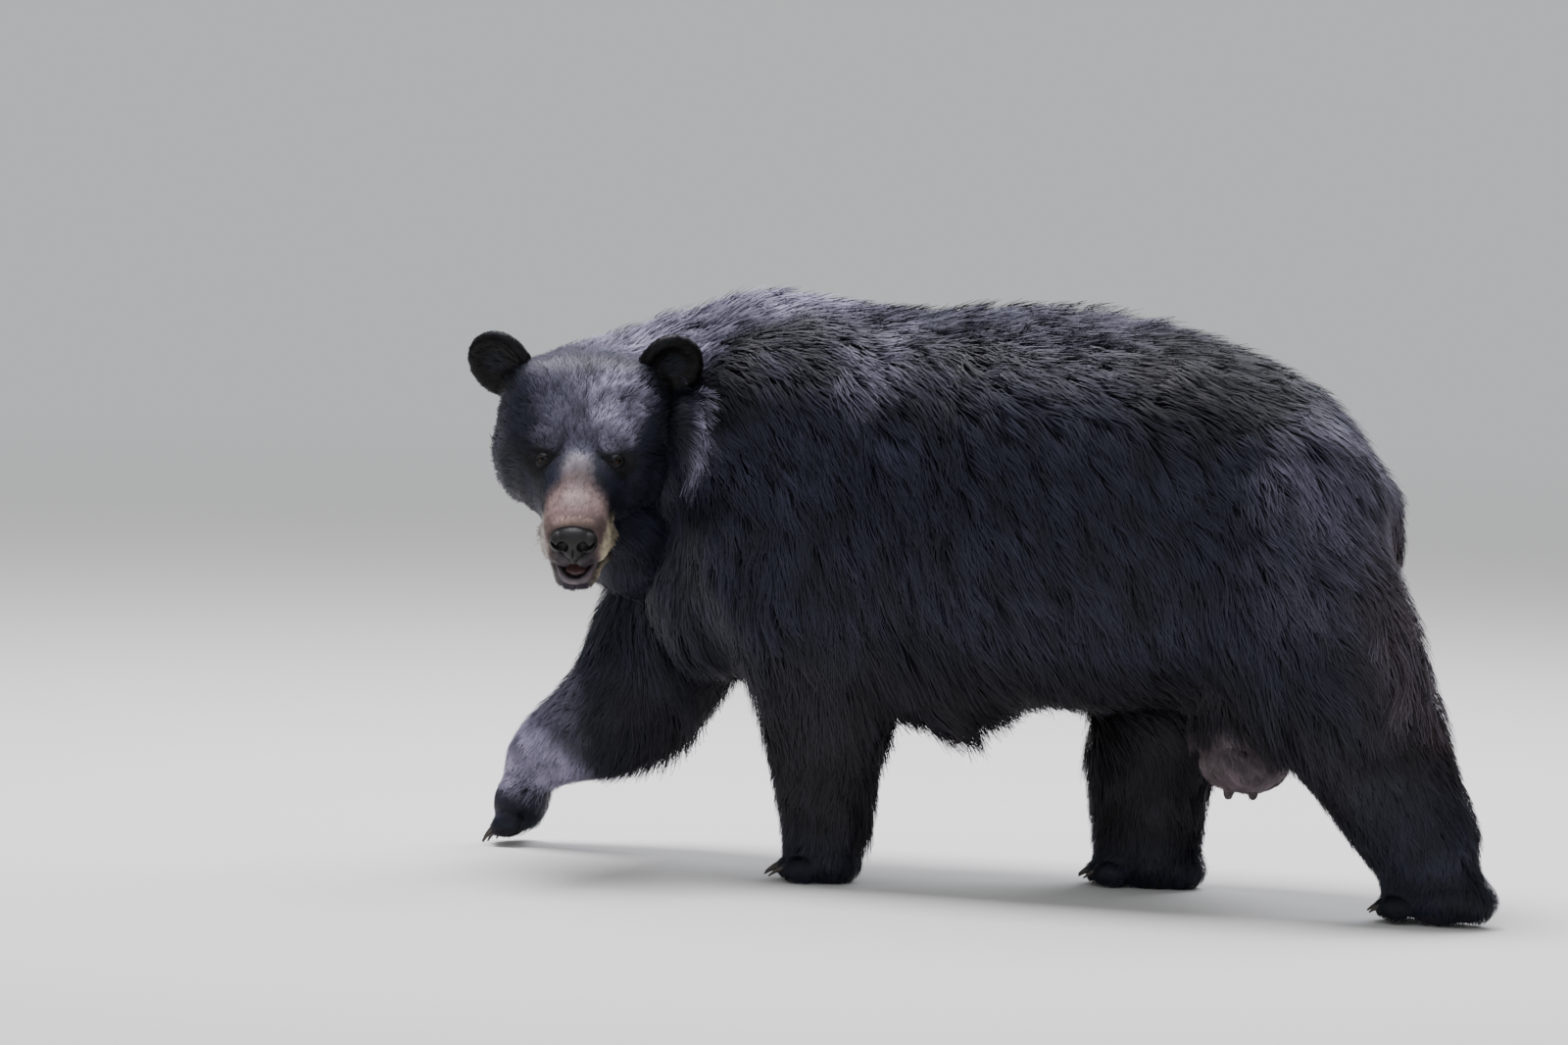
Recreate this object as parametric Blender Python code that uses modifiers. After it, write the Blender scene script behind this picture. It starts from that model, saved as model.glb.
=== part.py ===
"""American black bear sow, walking, her head turned to her left: a still, life-size museum model.

The bear faces -Y, her left side is +X and the floor is z = 0, all in metres. Every solid has the
outer surface of the coat. The whole animal is modelled first, from lofts and rounded masses that
are fused into one surface, and is then parted into named pieces, each taken with a region whose
border is a thin gap. The ears, eyes, nose and claws are their own shapes, fitted to it.

Run with: blender --background --python part.py
"""

import math
from collections import namedtuple

import bmesh
import bpy
from mathutils import Matrix, Vector

# ---------------------------------------------------------------- driving sizes
BACK_HEIGHT = 0.723         # floor to the coat over the middle of the back
BELLY_HEIGHT = 0.233        # floor to the coat under the middle of the belly
BODY_HALF_WIDTH = 0.207     # half the width of the trunk at its widest, with the coat
GAP = 0.0004                # between two pieces
COARSE_VOXEL = 0.011        # grid that fuses the trunk and legs
FINE_VOXEL = 0.0055         # grid that then adds the head and paws
FLESH_TRIANGLES = 3800      # of the whole fused animal, before it is parted

# The head's own frame: its centre lies between the ears and the cheeks.
HEAD_CENTRE = Vector((0.164, -0.555, 0.551))
HEAD_TURN = math.radians(13)     # of the face, from +X towards +Y
HEAD_DROP = math.radians(25)     # of the muzzle, below the level

EYE_RADIUS = 0.0105
EYE_AT = (0.0800, 0.0443, 0.0100)          # forward, to the side and up, in the head's frame
EAR_HALF_WIDTH, EAR_HALF_HEIGHT, EAR_HALF_DEPTH = 0.0415, 0.0440, 0.0150
EAR_AT = (-0.035, 0.103, 0.081)
EAR_SPLAY, EAR_TURN = 42, 16               # degrees that an ear leans outwards and faces outwards
NOSE_HALF_DEPTH, NOSE_HALF_WIDTH, NOSE_HALF_HEIGHT = 0.0165, 0.0290, 0.0180
NOSE_AT = (0.1930, 0, -0.0360)
CHIN = (0.150, 0, -0.110)
MOUTH_CORNER = (0.085, -0.0715)            # forward and up
LIP_FRONT, LIP_GAPE = 0.300, 0.052         # where the mouth's wedge ends, and how wide it is there
THROAT = 0.048                             # how far forward the jaw parts from the head

BLACK_COAT = (0.016, 0.016, 0.020, 1)
BROWN_COAT = (0.075, 0.052, 0.038, 1)
NOSE_LEATHER = (0.030, 0.030, 0.033, 1)
DARK_EYE = (0.035, 0.018, 0.010, 1)

# ---------------------------------------------------------------- helpers
X, Y, Z = Vector((1, 0, 0)), Vector((0, 1, 0)), Vector((0, 0, 1))
BODY = Matrix.Identity(4)

Ring = namedtuple("Ring", "at across deep")
Ring.__doc__ = "A loft's cross-section: its centre, half its width and half its depth."


def collection(name):
    """A new collection in the scene."""
    made = bpy.data.collections.new(name)
    bpy.context.scene.collection.children.link(made)
    return made


def head_frame():
    """The matrix from the head's own axes (forward, left, up) to the model's."""
    level = Vector((math.cos(HEAD_TURN), math.sin(HEAD_TURN), 0))
    forward = level * math.cos(HEAD_DROP) - Z * math.sin(HEAD_DROP)
    left = Z.cross(level)
    up = forward.cross(left)
    turn = Matrix((forward, left, up)).transposed()
    return Matrix.Translation(HEAD_CENTRE) @ turn.to_4x4()


def foot_frame(at, heading, pitch):
    """A paw's own frame: forward to the toes, left, and up from the sole. Angles in degrees."""
    turn = Matrix.Rotation(math.radians(heading), 4, "Z") @ Matrix.Rotation(math.radians(pitch), 4, "X")
    forward_left_up = Matrix(((0, 1, 0), (-1, 0, 0), (0, 0, 1))).to_4x4()
    return Matrix.Translation(Vector(at)) @ turn @ forward_left_up


def finished(name, group, mesh, frame=BODY):
    """Turns a bmesh into a named object of the group, its faces pointing out."""
    mesh.transform(frame)
    bmesh.ops.recalc_face_normals(mesh, faces=mesh.faces)
    if mesh.calc_volume(signed=True) < 0:
        bmesh.ops.reverse_faces(mesh, faces=mesh.faces)
    data = bpy.data.meshes.new(name)
    mesh.to_mesh(data)
    mesh.free()
    made = bpy.data.objects.new(name, data)
    group.objects.link(made)
    return made


def smooth_rings(rings, steps):
    """Rings between the given ones, on a Catmull-Rom curve through their numbers."""
    rows = [[*ring.at, ring.across, ring.deep] for ring in rings]
    rows = [rows[0], *rows, rows[-1]]
    found = []
    for i in range(1, len(rows) - 2):
        before, a, b, after = rows[i - 1:i + 3]
        for step in range(steps):
            t = step / steps
            found.append([
                0.5 * (2 * q + (r - p) * t + (2 * p - 5 * q + 4 * r - s) * t ** 2
                       + (3 * q - p - 3 * r + s) * t ** 3)
                for p, q, r, s in zip(before, a, b, after)])
    found.append(rows[-2])
    return [Ring(Vector(row[:3]), row[3], row[4]) for row in found]


def domed(rings, bulge):
    """The rings with a rounded end added before the first and after the last."""
    def dome(ring, beside):
        outward = (ring.at - beside.at).normalized()
        height = bulge * (ring.across + ring.deep) / 2
        for angle in (30, 60, 80):
            shrink, rise = math.cos(math.radians(angle)), math.sin(math.radians(angle))
            yield Ring(ring.at + outward * height * rise, ring.across * shrink, ring.deep * shrink)
    return [*reversed(list(dome(rings[0], rings[1]))), *rings, *dome(rings[-1], rings[-2])]


def loft(name, group, rings, across=X, squareness=2.0, bulge=0.6, frame=BODY, sides=28, steps=5,
         facing=None):
    """A closed solid through rings, their width along across, that face along their path or all one way."""
    rings = smooth_rings(rings, steps)
    if bulge:
        rings = domed(rings, bulge)
    mesh = bmesh.new()
    hoops = []
    for i, ring in enumerate(rings):
        ahead, behind = rings[min(i + 1, len(rings) - 1)], rings[max(i - 1, 0)]
        along = facing or (ahead.at - behind.at).normalized()
        deep = along.cross(across).normalized()
        wide = deep.cross(along).normalized()
        hoop = []
        for k in range(sides):
            angle = 2 * math.pi * k / sides
            c, s = math.cos(angle), math.sin(angle)
            c = math.copysign(abs(c) ** (2 / squareness), c)
            s = math.copysign(abs(s) ** (2 / squareness), s)
            hoop.append(mesh.verts.new(ring.at + wide * ring.across * c + deep * ring.deep * s))
        hoops.append(hoop)
    for a, b in zip(hoops, hoops[1:]):
        for k in range(sides):
            n = (k + 1) % sides
            mesh.faces.new((a[k], a[n], b[n]))
            mesh.faces.new((a[k], b[n], b[k]))
    mesh.faces.new(reversed(hoops[0]))
    mesh.faces.new(hoops[-1])
    return finished(name, group, mesh, frame)


def mass(name, group, at, radii, turn=(0, 0, 0), frame=BODY, rings=16):
    """An ellipsoid of the given radii, turned by angles in degrees about X, Y and Z."""
    mesh = bmesh.new()
    bmesh.ops.create_uvsphere(mesh, u_segments=2 * rings, v_segments=rings, radius=1)
    spin = BODY
    for axis, angle in zip("XYZ", turn):
        spin = Matrix.Rotation(math.radians(angle), 4, axis) @ spin
    mesh.transform(Matrix.Translation(Vector(at)) @ spin @ Matrix.Diagonal((*radii, 1)))
    return finished(name, group, mesh, frame)


def both_sides(name, group, at, radii, turn=(0, 0, 0), frame=BODY, side=0):
    """A mass and its mirror image across the axis that runs side to side: 0 in the body, 1 in the head."""
    for label, sign in (("left", 1), ("right", -1)):
        place = [sign * v if i == side else v for i, v in enumerate(at)]
        spin = [v if i == side else sign * v for i, v in enumerate(turn)]
        mass(f"{name}_{label}", group, place, radii, spin, frame)


def block(name, group, low, high, frame=BODY):
    """A box between two corners."""
    low, high = Vector(low), Vector(high)
    mesh = bmesh.new()
    bmesh.ops.create_cube(mesh, size=1)
    mesh.transform(Matrix.Translation((low + high) / 2) @ Matrix.Diagonal((*(high - low), 1)))
    return finished(name, group, mesh, frame)


def modified(target, kind, **settings):
    """Gives an object the mesh that one modifier makes of it."""
    modifier = target.modifiers.new(kind.title(), kind)
    for key, value in settings.items():
        setattr(modifier, key, value)
    bpy.context.view_layer.update()
    graph = bpy.context.evaluated_depsgraph_get()
    data = bpy.data.meshes.new_from_object(target.evaluated_get(graph))
    target.modifiers.clear()
    target.data = data
    return target


def combined(target, operation, other):
    """A Boolean of the target with another object, which is removed."""
    modified(target, "BOOLEAN", operation=operation, object=other, solver="EXACT")
    bpy.data.objects.remove(other)
    return target


def copied(source, name):
    """A copy of an object with its own mesh."""
    made = source.copy()
    made.data = source.data.copy()
    made.name = name
    source.users_collection[0].objects.link(made)
    return made


def only_largest(target):
    """Drops the crumbs that a cut leaves, which are far smaller than the piece."""
    mesh = bmesh.new()
    mesh.from_mesh(target.data)
    unseen = set(mesh.verts)
    bodies = []
    while unseen:
        body, edge = set(), [unseen.pop()]
        while edge:
            vert = edge.pop()
            body.add(vert)
            near = {e.other_vert(vert) for e in vert.link_edges} & unseen
            unseen -= near
            edge.extend(near)
        bodies.append(body)
    bodies.sort(key=len)
    bmesh.ops.delete(mesh, geom=[vert for body in bodies[:-1] for vert in body], context="VERTS")
    mesh.to_mesh(target.data)
    mesh.free()
    return target


def fused(name, sources, group, voxel, repeats):
    """One smooth surface round all the sources, which are removed."""
    mesh = bmesh.new()
    for source in sources:
        mesh.from_mesh(source.data)
        bpy.data.objects.remove(source)
    made = finished(name, group, mesh)
    modified(made, "REMESH", mode="VOXEL", voxel_size=voxel)
    return modified(made, "SMOOTH", factor=0.5, iterations=repeats)


# ---------------------------------------------------------------- the animal's masses
def trunk(group):
    """Chest, belly and rump, with the muscle and fat that lie over them, and the mammae."""
    middle = (BACK_HEIGHT + BELLY_HEIGHT) / 2
    half = (BACK_HEIGHT - BELLY_HEIGHT) / 2
    rings = [
        # along, centre height, half width, half height
        (-0.455, 0.505, 0.53 * BODY_HALF_WIDTH, 0.165),
        (-0.400, 0.498, 0.71 * BODY_HALF_WIDTH, 0.215),
        (-0.320, 0.488, 0.84 * BODY_HALF_WIDTH, half),
        (-0.220, middle - 0.003, 0.91 * BODY_HALF_WIDTH, half + 0.002),
        (-0.100, middle, 0.97 * BODY_HALF_WIDTH, half),
        (0.030, middle, BODY_HALF_WIDTH, half),
        (0.130, middle, 0.98 * BODY_HALF_WIDTH, 0.97 * half),
        (0.212, middle, 0.93 * BODY_HALF_WIDTH, 0.91 * half),
        (0.280, 0.475, 0.86 * BODY_HALF_WIDTH, 0.79 * half),
        (0.335, 0.462, 0.76 * BODY_HALF_WIDTH, 0.64 * half),
        (0.376, 0.448, 0.62 * BODY_HALF_WIDTH, 0.47 * half),
    ]
    loft("trunk_core", group, [Ring(Vector((0, y, z)), w, h) for y, z, w, h in rings], squareness=2.25)
    both_sides("shoulder", group, (0.096, -0.345, 0.500), (0.082, 0.115, 0.190), (8, 0, 0))
    mass("haunch_left", group, (0.088, 0.314, 0.455), (0.088, 0.146, 0.175), (-14, 0, 0))
    mass("haunch_right", group, (-0.084, 0.272, 0.460), (0.088, 0.146, 0.175), (6, 0, 0))
    mass("brisket", group, (0, -0.415, 0.360), (0.105, 0.110, 0.120))
    mass("hump", group, (0, -0.370, 0.640), (0.085, 0.120, 0.103))
    both_sides("front_mamma", group, (0.052, -0.105, 0.240), (0.050, 0.066, 0.050))
    mass("udder", group, (0.004, 0.270, 0.240), (0.084, 0.072, 0.070))
    mass("rear_mamma_left", group, (0.046, 0.272, 0.222), (0.042, 0.068, 0.073))
    mass("rear_mamma_right", group, (-0.034, 0.272, 0.226), (0.040, 0.064, 0.066))
    mass("front_teat", group, (0.056, -0.088, 0.190), (0.0085, 0.0085, 0.016))
    mass("middle_teat", group, (0.052, 0.262, 0.148), (0.0085, 0.0085, 0.020))
    mass("rear_teat", group, (0.052, 0.293, 0.148), (0.0085, 0.0085, 0.020))


def neck(group):
    """The thick neck, which bends to the left."""
    rings = [
        ((-0.004, -0.320, 0.545), 0.148, 0.172),
        ((-0.014, -0.430, 0.562), 0.132, 0.158),
        ((0.006, -0.515, 0.568), 0.122, 0.132),
        ((0.056, -0.560, 0.562), 0.116, 0.112),
        ((0.115, -0.560, 0.554), 0.106, 0.100),
    ]
    loft("neck_core", group, [Ring(Vector(at), w, h) for at, w, h in rings], across=Vector((1, -0.6, 0)))


LEGS = {
    # centre of each ring, half its width across the body, half its depth fore and aft
    "foreleg_left": [
        ((0.118, -0.335, 0.500), 0.072, 0.108),
        ((0.114, -0.295, 0.370), 0.075, 0.108),
        ((0.102, -0.262, 0.270), 0.067, 0.094),
        ((0.091, -0.253, 0.190), 0.058, 0.080),
        ((0.085, -0.250, 0.120), 0.052, 0.072),
        ((0.081, -0.249, 0.065), 0.049, 0.061),
        ((0.080, -0.251, 0.024), 0.047, 0.054)],
    "foreleg_right": [
        ((-0.112, -0.410, 0.490), 0.074, 0.108),
        ((-0.112, -0.475, 0.380), 0.078, 0.112),
        ((-0.105, -0.530, 0.266), 0.073, 0.103),
        ((-0.099, -0.580, 0.193), 0.065, 0.088),
        ((-0.094, -0.636, 0.150), 0.056, 0.072),
        ((-0.090, -0.688, 0.122), 0.048, 0.055),
        ((-0.088, -0.708, 0.096), 0.044, 0.045)],
    "hindleg_left": [
        ((0.100, 0.285, 0.490), 0.088, 0.128),
        ((0.108, 0.345, 0.400), 0.091, 0.134),
        ((0.112, 0.407, 0.305), 0.083, 0.125),
        ((0.108, 0.455, 0.215), 0.067, 0.099),
        ((0.102, 0.500, 0.135), 0.058, 0.084),
        ((0.097, 0.539, 0.072), 0.052, 0.071)],
    "hindleg_right": [
        ((-0.098, 0.285, 0.490), 0.088, 0.128),
        ((-0.108, 0.230, 0.390), 0.091, 0.135),
        ((-0.112, 0.160, 0.300), 0.080, 0.117),
        ((-0.104, 0.128, 0.205), 0.066, 0.094),
        ((-0.096, 0.122, 0.130), 0.056, 0.086),
        ((-0.090, 0.120, 0.065), 0.050, 0.072),
        ((-0.089, 0.121, 0.028), 0.048, 0.063)],
}


def legs(group):
    """The four legs in mid stride."""
    for name, rings in LEGS.items():
        loft(f"{name}_core", group, [Ring(Vector(at), w, d) for at, w, d in rings],
             squareness=2.1, bulge=0.35)


def tail(group):
    """The short tail, which hangs against the rump."""
    rings = [
        ((0, 0.370, 0.560), 0.034, 0.034),
        ((0, 0.412, 0.532), 0.034, 0.030),
        ((0, 0.438, 0.490), 0.027, 0.023),
        ((0, 0.444, 0.450), 0.016, 0.014),
    ]
    loft("tail_core", group, [Ring(Vector(at), w, d) for at, w, d in rings])


def head(group):
    """Skull, cheeks, muzzle and lower jaw, in the head's own axes: forward, left, up."""
    frame = head_frame()
    skull = [
        # forward, centre height, half width, half height
        (-0.115, 0.018, 0.085, 0.085),
        (-0.070, 0.008, 0.108, 0.105),
        (-0.020, 0.002, 0.114, 0.108),
        (0.025, -0.008, 0.106, 0.092),
        (0.060, -0.020, 0.086, 0.075),
        (0.085, -0.031, 0.060, 0.060),
        (0.110, -0.035, 0.047, 0.053),
        (0.140, -0.037, 0.041, 0.046),
        (0.170, -0.039, 0.038, 0.039),
        (0.192, -0.040, 0.034, 0.033),
    ]
    loft("skull", group, [Ring(Vector((f, 0, u)), w, h) for f, u, w, h in skull],
         across=Y, squareness=2.2, bulge=0.45, frame=frame, facing=X)
    jaw = [
        (-0.010, -0.080, 0.060, 0.040),
        (0.060, -0.086, 0.046, 0.029),
        (0.110, -0.094, 0.037, 0.022),
        (0.150, -0.101, 0.030, 0.017),
        (0.172, -0.105, 0.024, 0.013),
    ]
    loft("lower_jaw", group, [Ring(Vector((f, 0, u)), w, h) for f, u, w, h in jaw],
         across=Y, squareness=2.2, bulge=0.5, frame=frame)
    both_sides("cheek", group, (-0.010, 0.070, -0.026), (0.074, 0.048, 0.068), frame=frame, side=1)
    both_sides("brow", group, (0.044, 0.034, 0.040), (0.028, 0.024, 0.021), frame=frame, side=1)
    both_sides("temple", group, (-0.022, 0.060, 0.060), (0.060, 0.045, 0.048), frame=frame, side=1)
    both_sides("upper_lip", group, (0.160, 0.021, -0.058), (0.040, 0.022, 0.024), frame=frame, side=1)


# ---------------------------------------------------------------- paws
Paw = namedtuple("Paw", "name at heading pitch bend length width claw")
Paw.__doc__ = "A paw: pitch tips its sole down at the toes, and bend lifts the toes from the sole's plane."
FORE = dict(length=0.102, width=0.098, claw=0.028)
HIND = dict(length=0.146, width=0.090, claw=0.022)
PAWS = (
    Paw("forepaw_left", (0.080, -0.248, 0), 6, 0, 0, **FORE),
    Paw("forepaw_right", (-0.088, -0.688, 0.046), -4, 74, 50, **FORE),
    Paw("hindpaw_left", (0.094, 0.543, 0.004), -6, 4, 4, **HIND),
    Paw("hindpaw_right", (-0.089, 0.126, 0), 6, 0, 0, **HIND),
)
TOES = 5
TOE_JOINT = Vector((0.020, 0, 0.017))       # where the toes bend, forward of the paw's middle and up
TOE_RADII = Vector((0.027, 0.0128, 0.0205))


def toes(paw):
    """Each toe's own frame, forward, left and up from its centre, and its scale, right to left."""
    paw_frame = foot_frame(paw.at, paw.heading, paw.pitch)
    hinge = Matrix.Translation(TOE_JOINT) @ Matrix.Rotation(-math.radians(paw.bend), 4, "Y")
    for k in range(TOES):
        spread = 2 * k / (TOES - 1) - 1
        reach = 0.37 * paw.length - TOE_JOINT.x - 0.012 * spread ** 2
        place = Matrix.Translation((reach, spread * 0.39 * paw.width, 0))
        splay = Matrix.Rotation(math.radians(9 * spread), 4, "Z")
        yield paw_frame @ hinge @ place @ splay, 1 - 0.12 * abs(spread)


def paw_masses(group, paw):
    """The paw's pads, instep and toes, sunk a little below the floor where it is cut flat."""
    frame = foot_frame(paw.at, paw.heading, paw.pitch)
    half = paw.length / 2
    mass(f"{paw.name}_palm", group, (-0.08 * half, 0, 0.028), (0.76 * half, 0.46 * paw.width, 0.037),
         frame=frame)
    if paw.length > paw.width * 1.5:
        mass(f"{paw.name}_heel", group, (-0.58 * half, 0, 0.032), (0.46 * half, 0.40 * paw.width, 0.044),
             frame=frame)
    for k, (toe, scale) in enumerate(toes(paw)):
        mass(f"{paw.name}_toe{k}", group, (0, 0, 0), TOE_RADII * scale, frame=toe)


def claws(group, paw):
    """Five curved, tapering claws that start inside the toes."""
    made = []
    for k, (toe, scale) in enumerate(toes(paw)):
        rings = []
        for t in (0, 0.5, 1):
            centre = X * (0.012 + paw.claw * t) + Z * (0.003 - 0.45 * paw.claw * t * t)
            thick = 0.0058 * scale * (1 - 0.75 * t)
            rings.append(Ring(centre, 0.62 * thick, thick))
        made.append(loft(f"{paw.name}_claw{k}", group, rings, across=Y, bulge=0, frame=toe,
                         sides=5, steps=1))
    return made


def levelled(target, group):
    """Cuts off what reaches below the floor, which leaves small flats to stand on."""
    return combined(target, "DIFFERENCE", block("below", group, (-1, -1, -0.2), (1, 1, 0)))


# ---------------------------------------------------------------- parting
def taken(flesh, name, region):
    """Parts off what lies in a region, leaving a gap. The region is a function of how far to grow."""
    piece = combined(copied(flesh, name), "INTERSECT", region(0))
    combined(flesh, "DIFFERENCE", region(GAP))
    return only_largest(piece)


def blob(group, at, radii, frame=BODY):
    """A region: an ellipsoid."""
    return lambda grow: mass("region", group, at, [r + grow for r in radii], frame=frame, rings=9)


def box(group, low, high):
    """A region: a box."""
    return lambda grow: block("region", group, [v - grow for v in low], [v + grow for v in high])


def beyond(group, at, direction, reach=0.6, wide=0.6):
    """A region: all that lies past a plane, within reach of it and as wide to the sides."""
    frame = Matrix.Translation(Vector(at)) @ Vector(direction).to_track_quat("Z", "Y").to_matrix().to_4x4()
    return lambda grow: block("region", group, (-wide - grow, -wide - grow, -grow),
                              (wide + grow, wide + grow, reach + grow), frame)


def upper_leg(group, rings):
    """A region: the top of a leg with the muscle over it, through rings given by height."""
    return lambda grow: loft("region", group, [Ring(Vector(at), w + grow, d + grow) for at, w, d in rings],
                             sides=16, steps=1, bulge=0.3, facing=Z)


def mouth(group):
    """The open mouth: a wedge that widens forwards from its corners, with a thin cut behind it."""
    corner, height = MOUTH_CORNER
    upper, below, behind = height - 0.006, -0.25, THROAT - 0.012
    outline = [
        (LIP_FRONT, upper), (corner, height + GAP), (THROAT - GAP, height + GAP),
        (behind, below), (behind + GAP, below), (THROAT, height - GAP),
        (corner, height - GAP), (LIP_FRONT, upper - LIP_GAPE),
    ]
    mesh = bmesh.new()
    half = 0.13
    near = [mesh.verts.new((f, -half, u)) for f, u in outline]
    far = [mesh.verts.new((f, half, u)) for f, u in outline]
    mesh.faces.new(near)
    mesh.faces.new(reversed(far))
    for k in range(len(outline)):
        n = (k + 1) % len(outline)
        mesh.faces.new((near[k], far[k], far[n], near[n]))
    return finished("mouth", group, mesh, head_frame())


def split(target, names, nearest):
    """Separates a mesh's two bodies into objects, the first name going to the one nearest a point."""
    mesh = bmesh.new()
    mesh.from_mesh(target.data)
    start = min(mesh.verts, key=lambda vert: (vert.co - nearest).length)
    body, edge = {start}, [start]
    while edge:
        near = {e.other_vert(v) for v in [edge.pop()] for e in v.link_edges} - body
        body |= near
        edge.extend(near)
    rest = mesh.copy()
    picked = {vert.index for vert in body}
    rest.verts.ensure_lookup_table()
    bmesh.ops.delete(rest, geom=[rest.verts[i] for i in picked], context="VERTS")
    bmesh.ops.delete(mesh, geom=[vert for vert in mesh.verts if vert not in body], context="VERTS")
    group = target.users_collection[0]
    bpy.data.objects.remove(target)
    return finished(names[0], group, mesh), only_largest(finished(names[1], group, rest))


def parted(flesh, group):
    """Parts the fused animal into its named pieces, from the head back."""
    frame = head_frame()
    head_piece = taken(flesh, "head", blob(group, (0.100, 0, 0.000), (0.200, 0.165, 0.210), frame))
    for name, low, high in (
            ("forepaw_left", (0.005, -0.420, -0.1), (0.200, -0.150, 0.062)),
            ("hindpaw_left", (0.010, 0.380, -0.1), (0.200, 0.700, 0.074)),
            ("hindpaw_right", (-0.200, -0.050, -0.1), (-0.010, 0.300, 0.064))):
        taken(flesh, name, box(group, low, high))
    taken(flesh, "forepaw_right", beyond(group, (-0.090, -0.706, 0.108), (0, -0.25, -0.97), 0.3, 0.085))
    taken(flesh, "foreleg_left", box(group, (0.005, -0.420, 0), (0.220, -0.150, 0.182)))
    taken(flesh, "foreleg_right", beyond(group, (-0.145, -0.548, 0.240), (0, -0.62, -0.78), 0.5, 0.135))
    taken(flesh, "hindleg_left", beyond(group, (0.150, 0.450, 0.200), (0, 0.45, -0.89), 0.5, 0.135))
    taken(flesh, "hindleg_right", box(group, (-0.250, -0.050, 0), (-0.010, 0.270, 0.162)))
    taken(flesh, "shoulder_left", upper_leg(group, [
        ((0.110, -0.270, 0.110), 0.105, 0.110), ((0.125, -0.270, 0.230), 0.125, 0.115),
        ((0.180, -0.310, 0.360), 0.120, 0.130), ((0.220, -0.350, 0.520), 0.100, 0.110)]))
    taken(flesh, "shoulder_right", upper_leg(group, [
        ((-0.105, -0.620, 0.150), 0.105, 0.125), ((-0.125, -0.545, 0.260), 0.120, 0.135),
        ((-0.165, -0.475, 0.380), 0.140, 0.130), ((-0.220, -0.390, 0.540), 0.110, 0.110)]))
    taken(flesh, "thigh_left", upper_leg(group, [
        ((0.130, 0.475, 0.110), 0.095, 0.140), ((0.142, 0.420, 0.230), 0.092, 0.140),
        ((0.185, 0.350, 0.370), 0.115, 0.145), ((0.220, 0.310, 0.520), 0.095, 0.105)]))
    taken(flesh, "thigh_right", upper_leg(group, [
        ((-0.125, 0.120, 0.090), 0.100, 0.130), ((-0.135, 0.135, 0.220), 0.105, 0.135),
        ((-0.185, 0.220, 0.360), 0.115, 0.145), ((-0.220, 0.280, 0.520), 0.095, 0.105)]))
    taken(flesh, "neck", beyond(group, (0, -0.440, 0.520), (0.10, -0.95, 0.30)))
    taken(flesh, "chest", beyond(group, (0, -0.165, 0.4), (0, -1, 0)))
    taken(flesh, "tail", blob(group, (0, 0.450, 0.505), (0.045, 0.038, 0.075)))
    taken(flesh, "belly", beyond(group, (0, 0.150, 0.4), (0, -1, 0)))
    only_largest(flesh).name = "rump"
    return head_piece


# ---------------------------------------------------------------- pieces fitted to the head
def mirrored(at, sign):
    """A place in the head's frame, on its left for 1 and on its right for -1."""
    return Vector((at[0], sign * at[1], at[2]))


def ear(name, group, sign, whole):
    """A round, cupped ear, cut to sit on the whole animal's surface."""
    frame = head_frame() @ Matrix.Translation(mirrored(EAR_AT, sign))
    lean = (-sign * EAR_SPLAY, 0, sign * EAR_TURN)
    made = mass(name, group, (0, 0, 0), (EAR_HALF_DEPTH, EAR_HALF_WIDTH, EAR_HALF_HEIGHT), lean, frame)
    facing = Matrix.Rotation(math.radians(lean[2]), 3, "Z") @ X
    hollow = mass("hollow", group, facing * 0.87 * EAR_HALF_DEPTH,
                  (0.9 * EAR_HALF_DEPTH, 0.75 * EAR_HALF_WIDTH, 0.75 * EAR_HALF_HEIGHT), lean, frame)
    combined(made, "DIFFERENCE", hollow)
    modified(made, "DECIMATE", ratio=0.22)
    around = modified(copied(whole, "around"), "DISPLACE", strength=GAP)
    return only_largest(combined(made, "DIFFERENCE", around))


def socketed(name, group, at, radii, head_piece, rings):
    """A rounded piece set in a socket that is cut for it in the head."""
    frame = head_frame()
    combined(head_piece, "DIFFERENCE", mass("socket", group, at, [r + GAP for r in radii],
                                            frame=frame, rings=rings))
    return mass(name, group, at, radii, frame=frame, rings=rings)


# ---------------------------------------------------------------- finish
def material(name, colour, roughness):
    """A Principled material."""
    made = bpy.data.materials.new(name)
    made.use_nodes = True
    shader = made.node_tree.nodes["Principled BSDF"]
    shader.inputs["Base Color"].default_value = colour
    shader.inputs["Roughness"].default_value = roughness
    return made


def look_of(name):
    """The colour and roughness of a named piece."""
    if name.startswith("eye"):
        return DARK_EYE, 0.08
    if name == "nose":
        return NOSE_LEATHER, 0.45
    if name == "jaw":
        return BROWN_COAT, 0.7
    return BLACK_COAT, 0.7


def centred(pieces):
    """Moves the whole model so that its bounding box stands on the origin."""
    corners = [vert.co for piece in pieces for vert in piece.data.vertices]
    low = [min(c[i] for c in corners) for i in range(3)]
    high = [max(c[i] for c in corners) for i in range(3)]
    shift = -Vector(((low[0] + high[0]) / 2, (low[1] + high[1]) / 2, low[2]))
    for piece in pieces:
        piece.data.transform(Matrix.Translation(shift))


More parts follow.
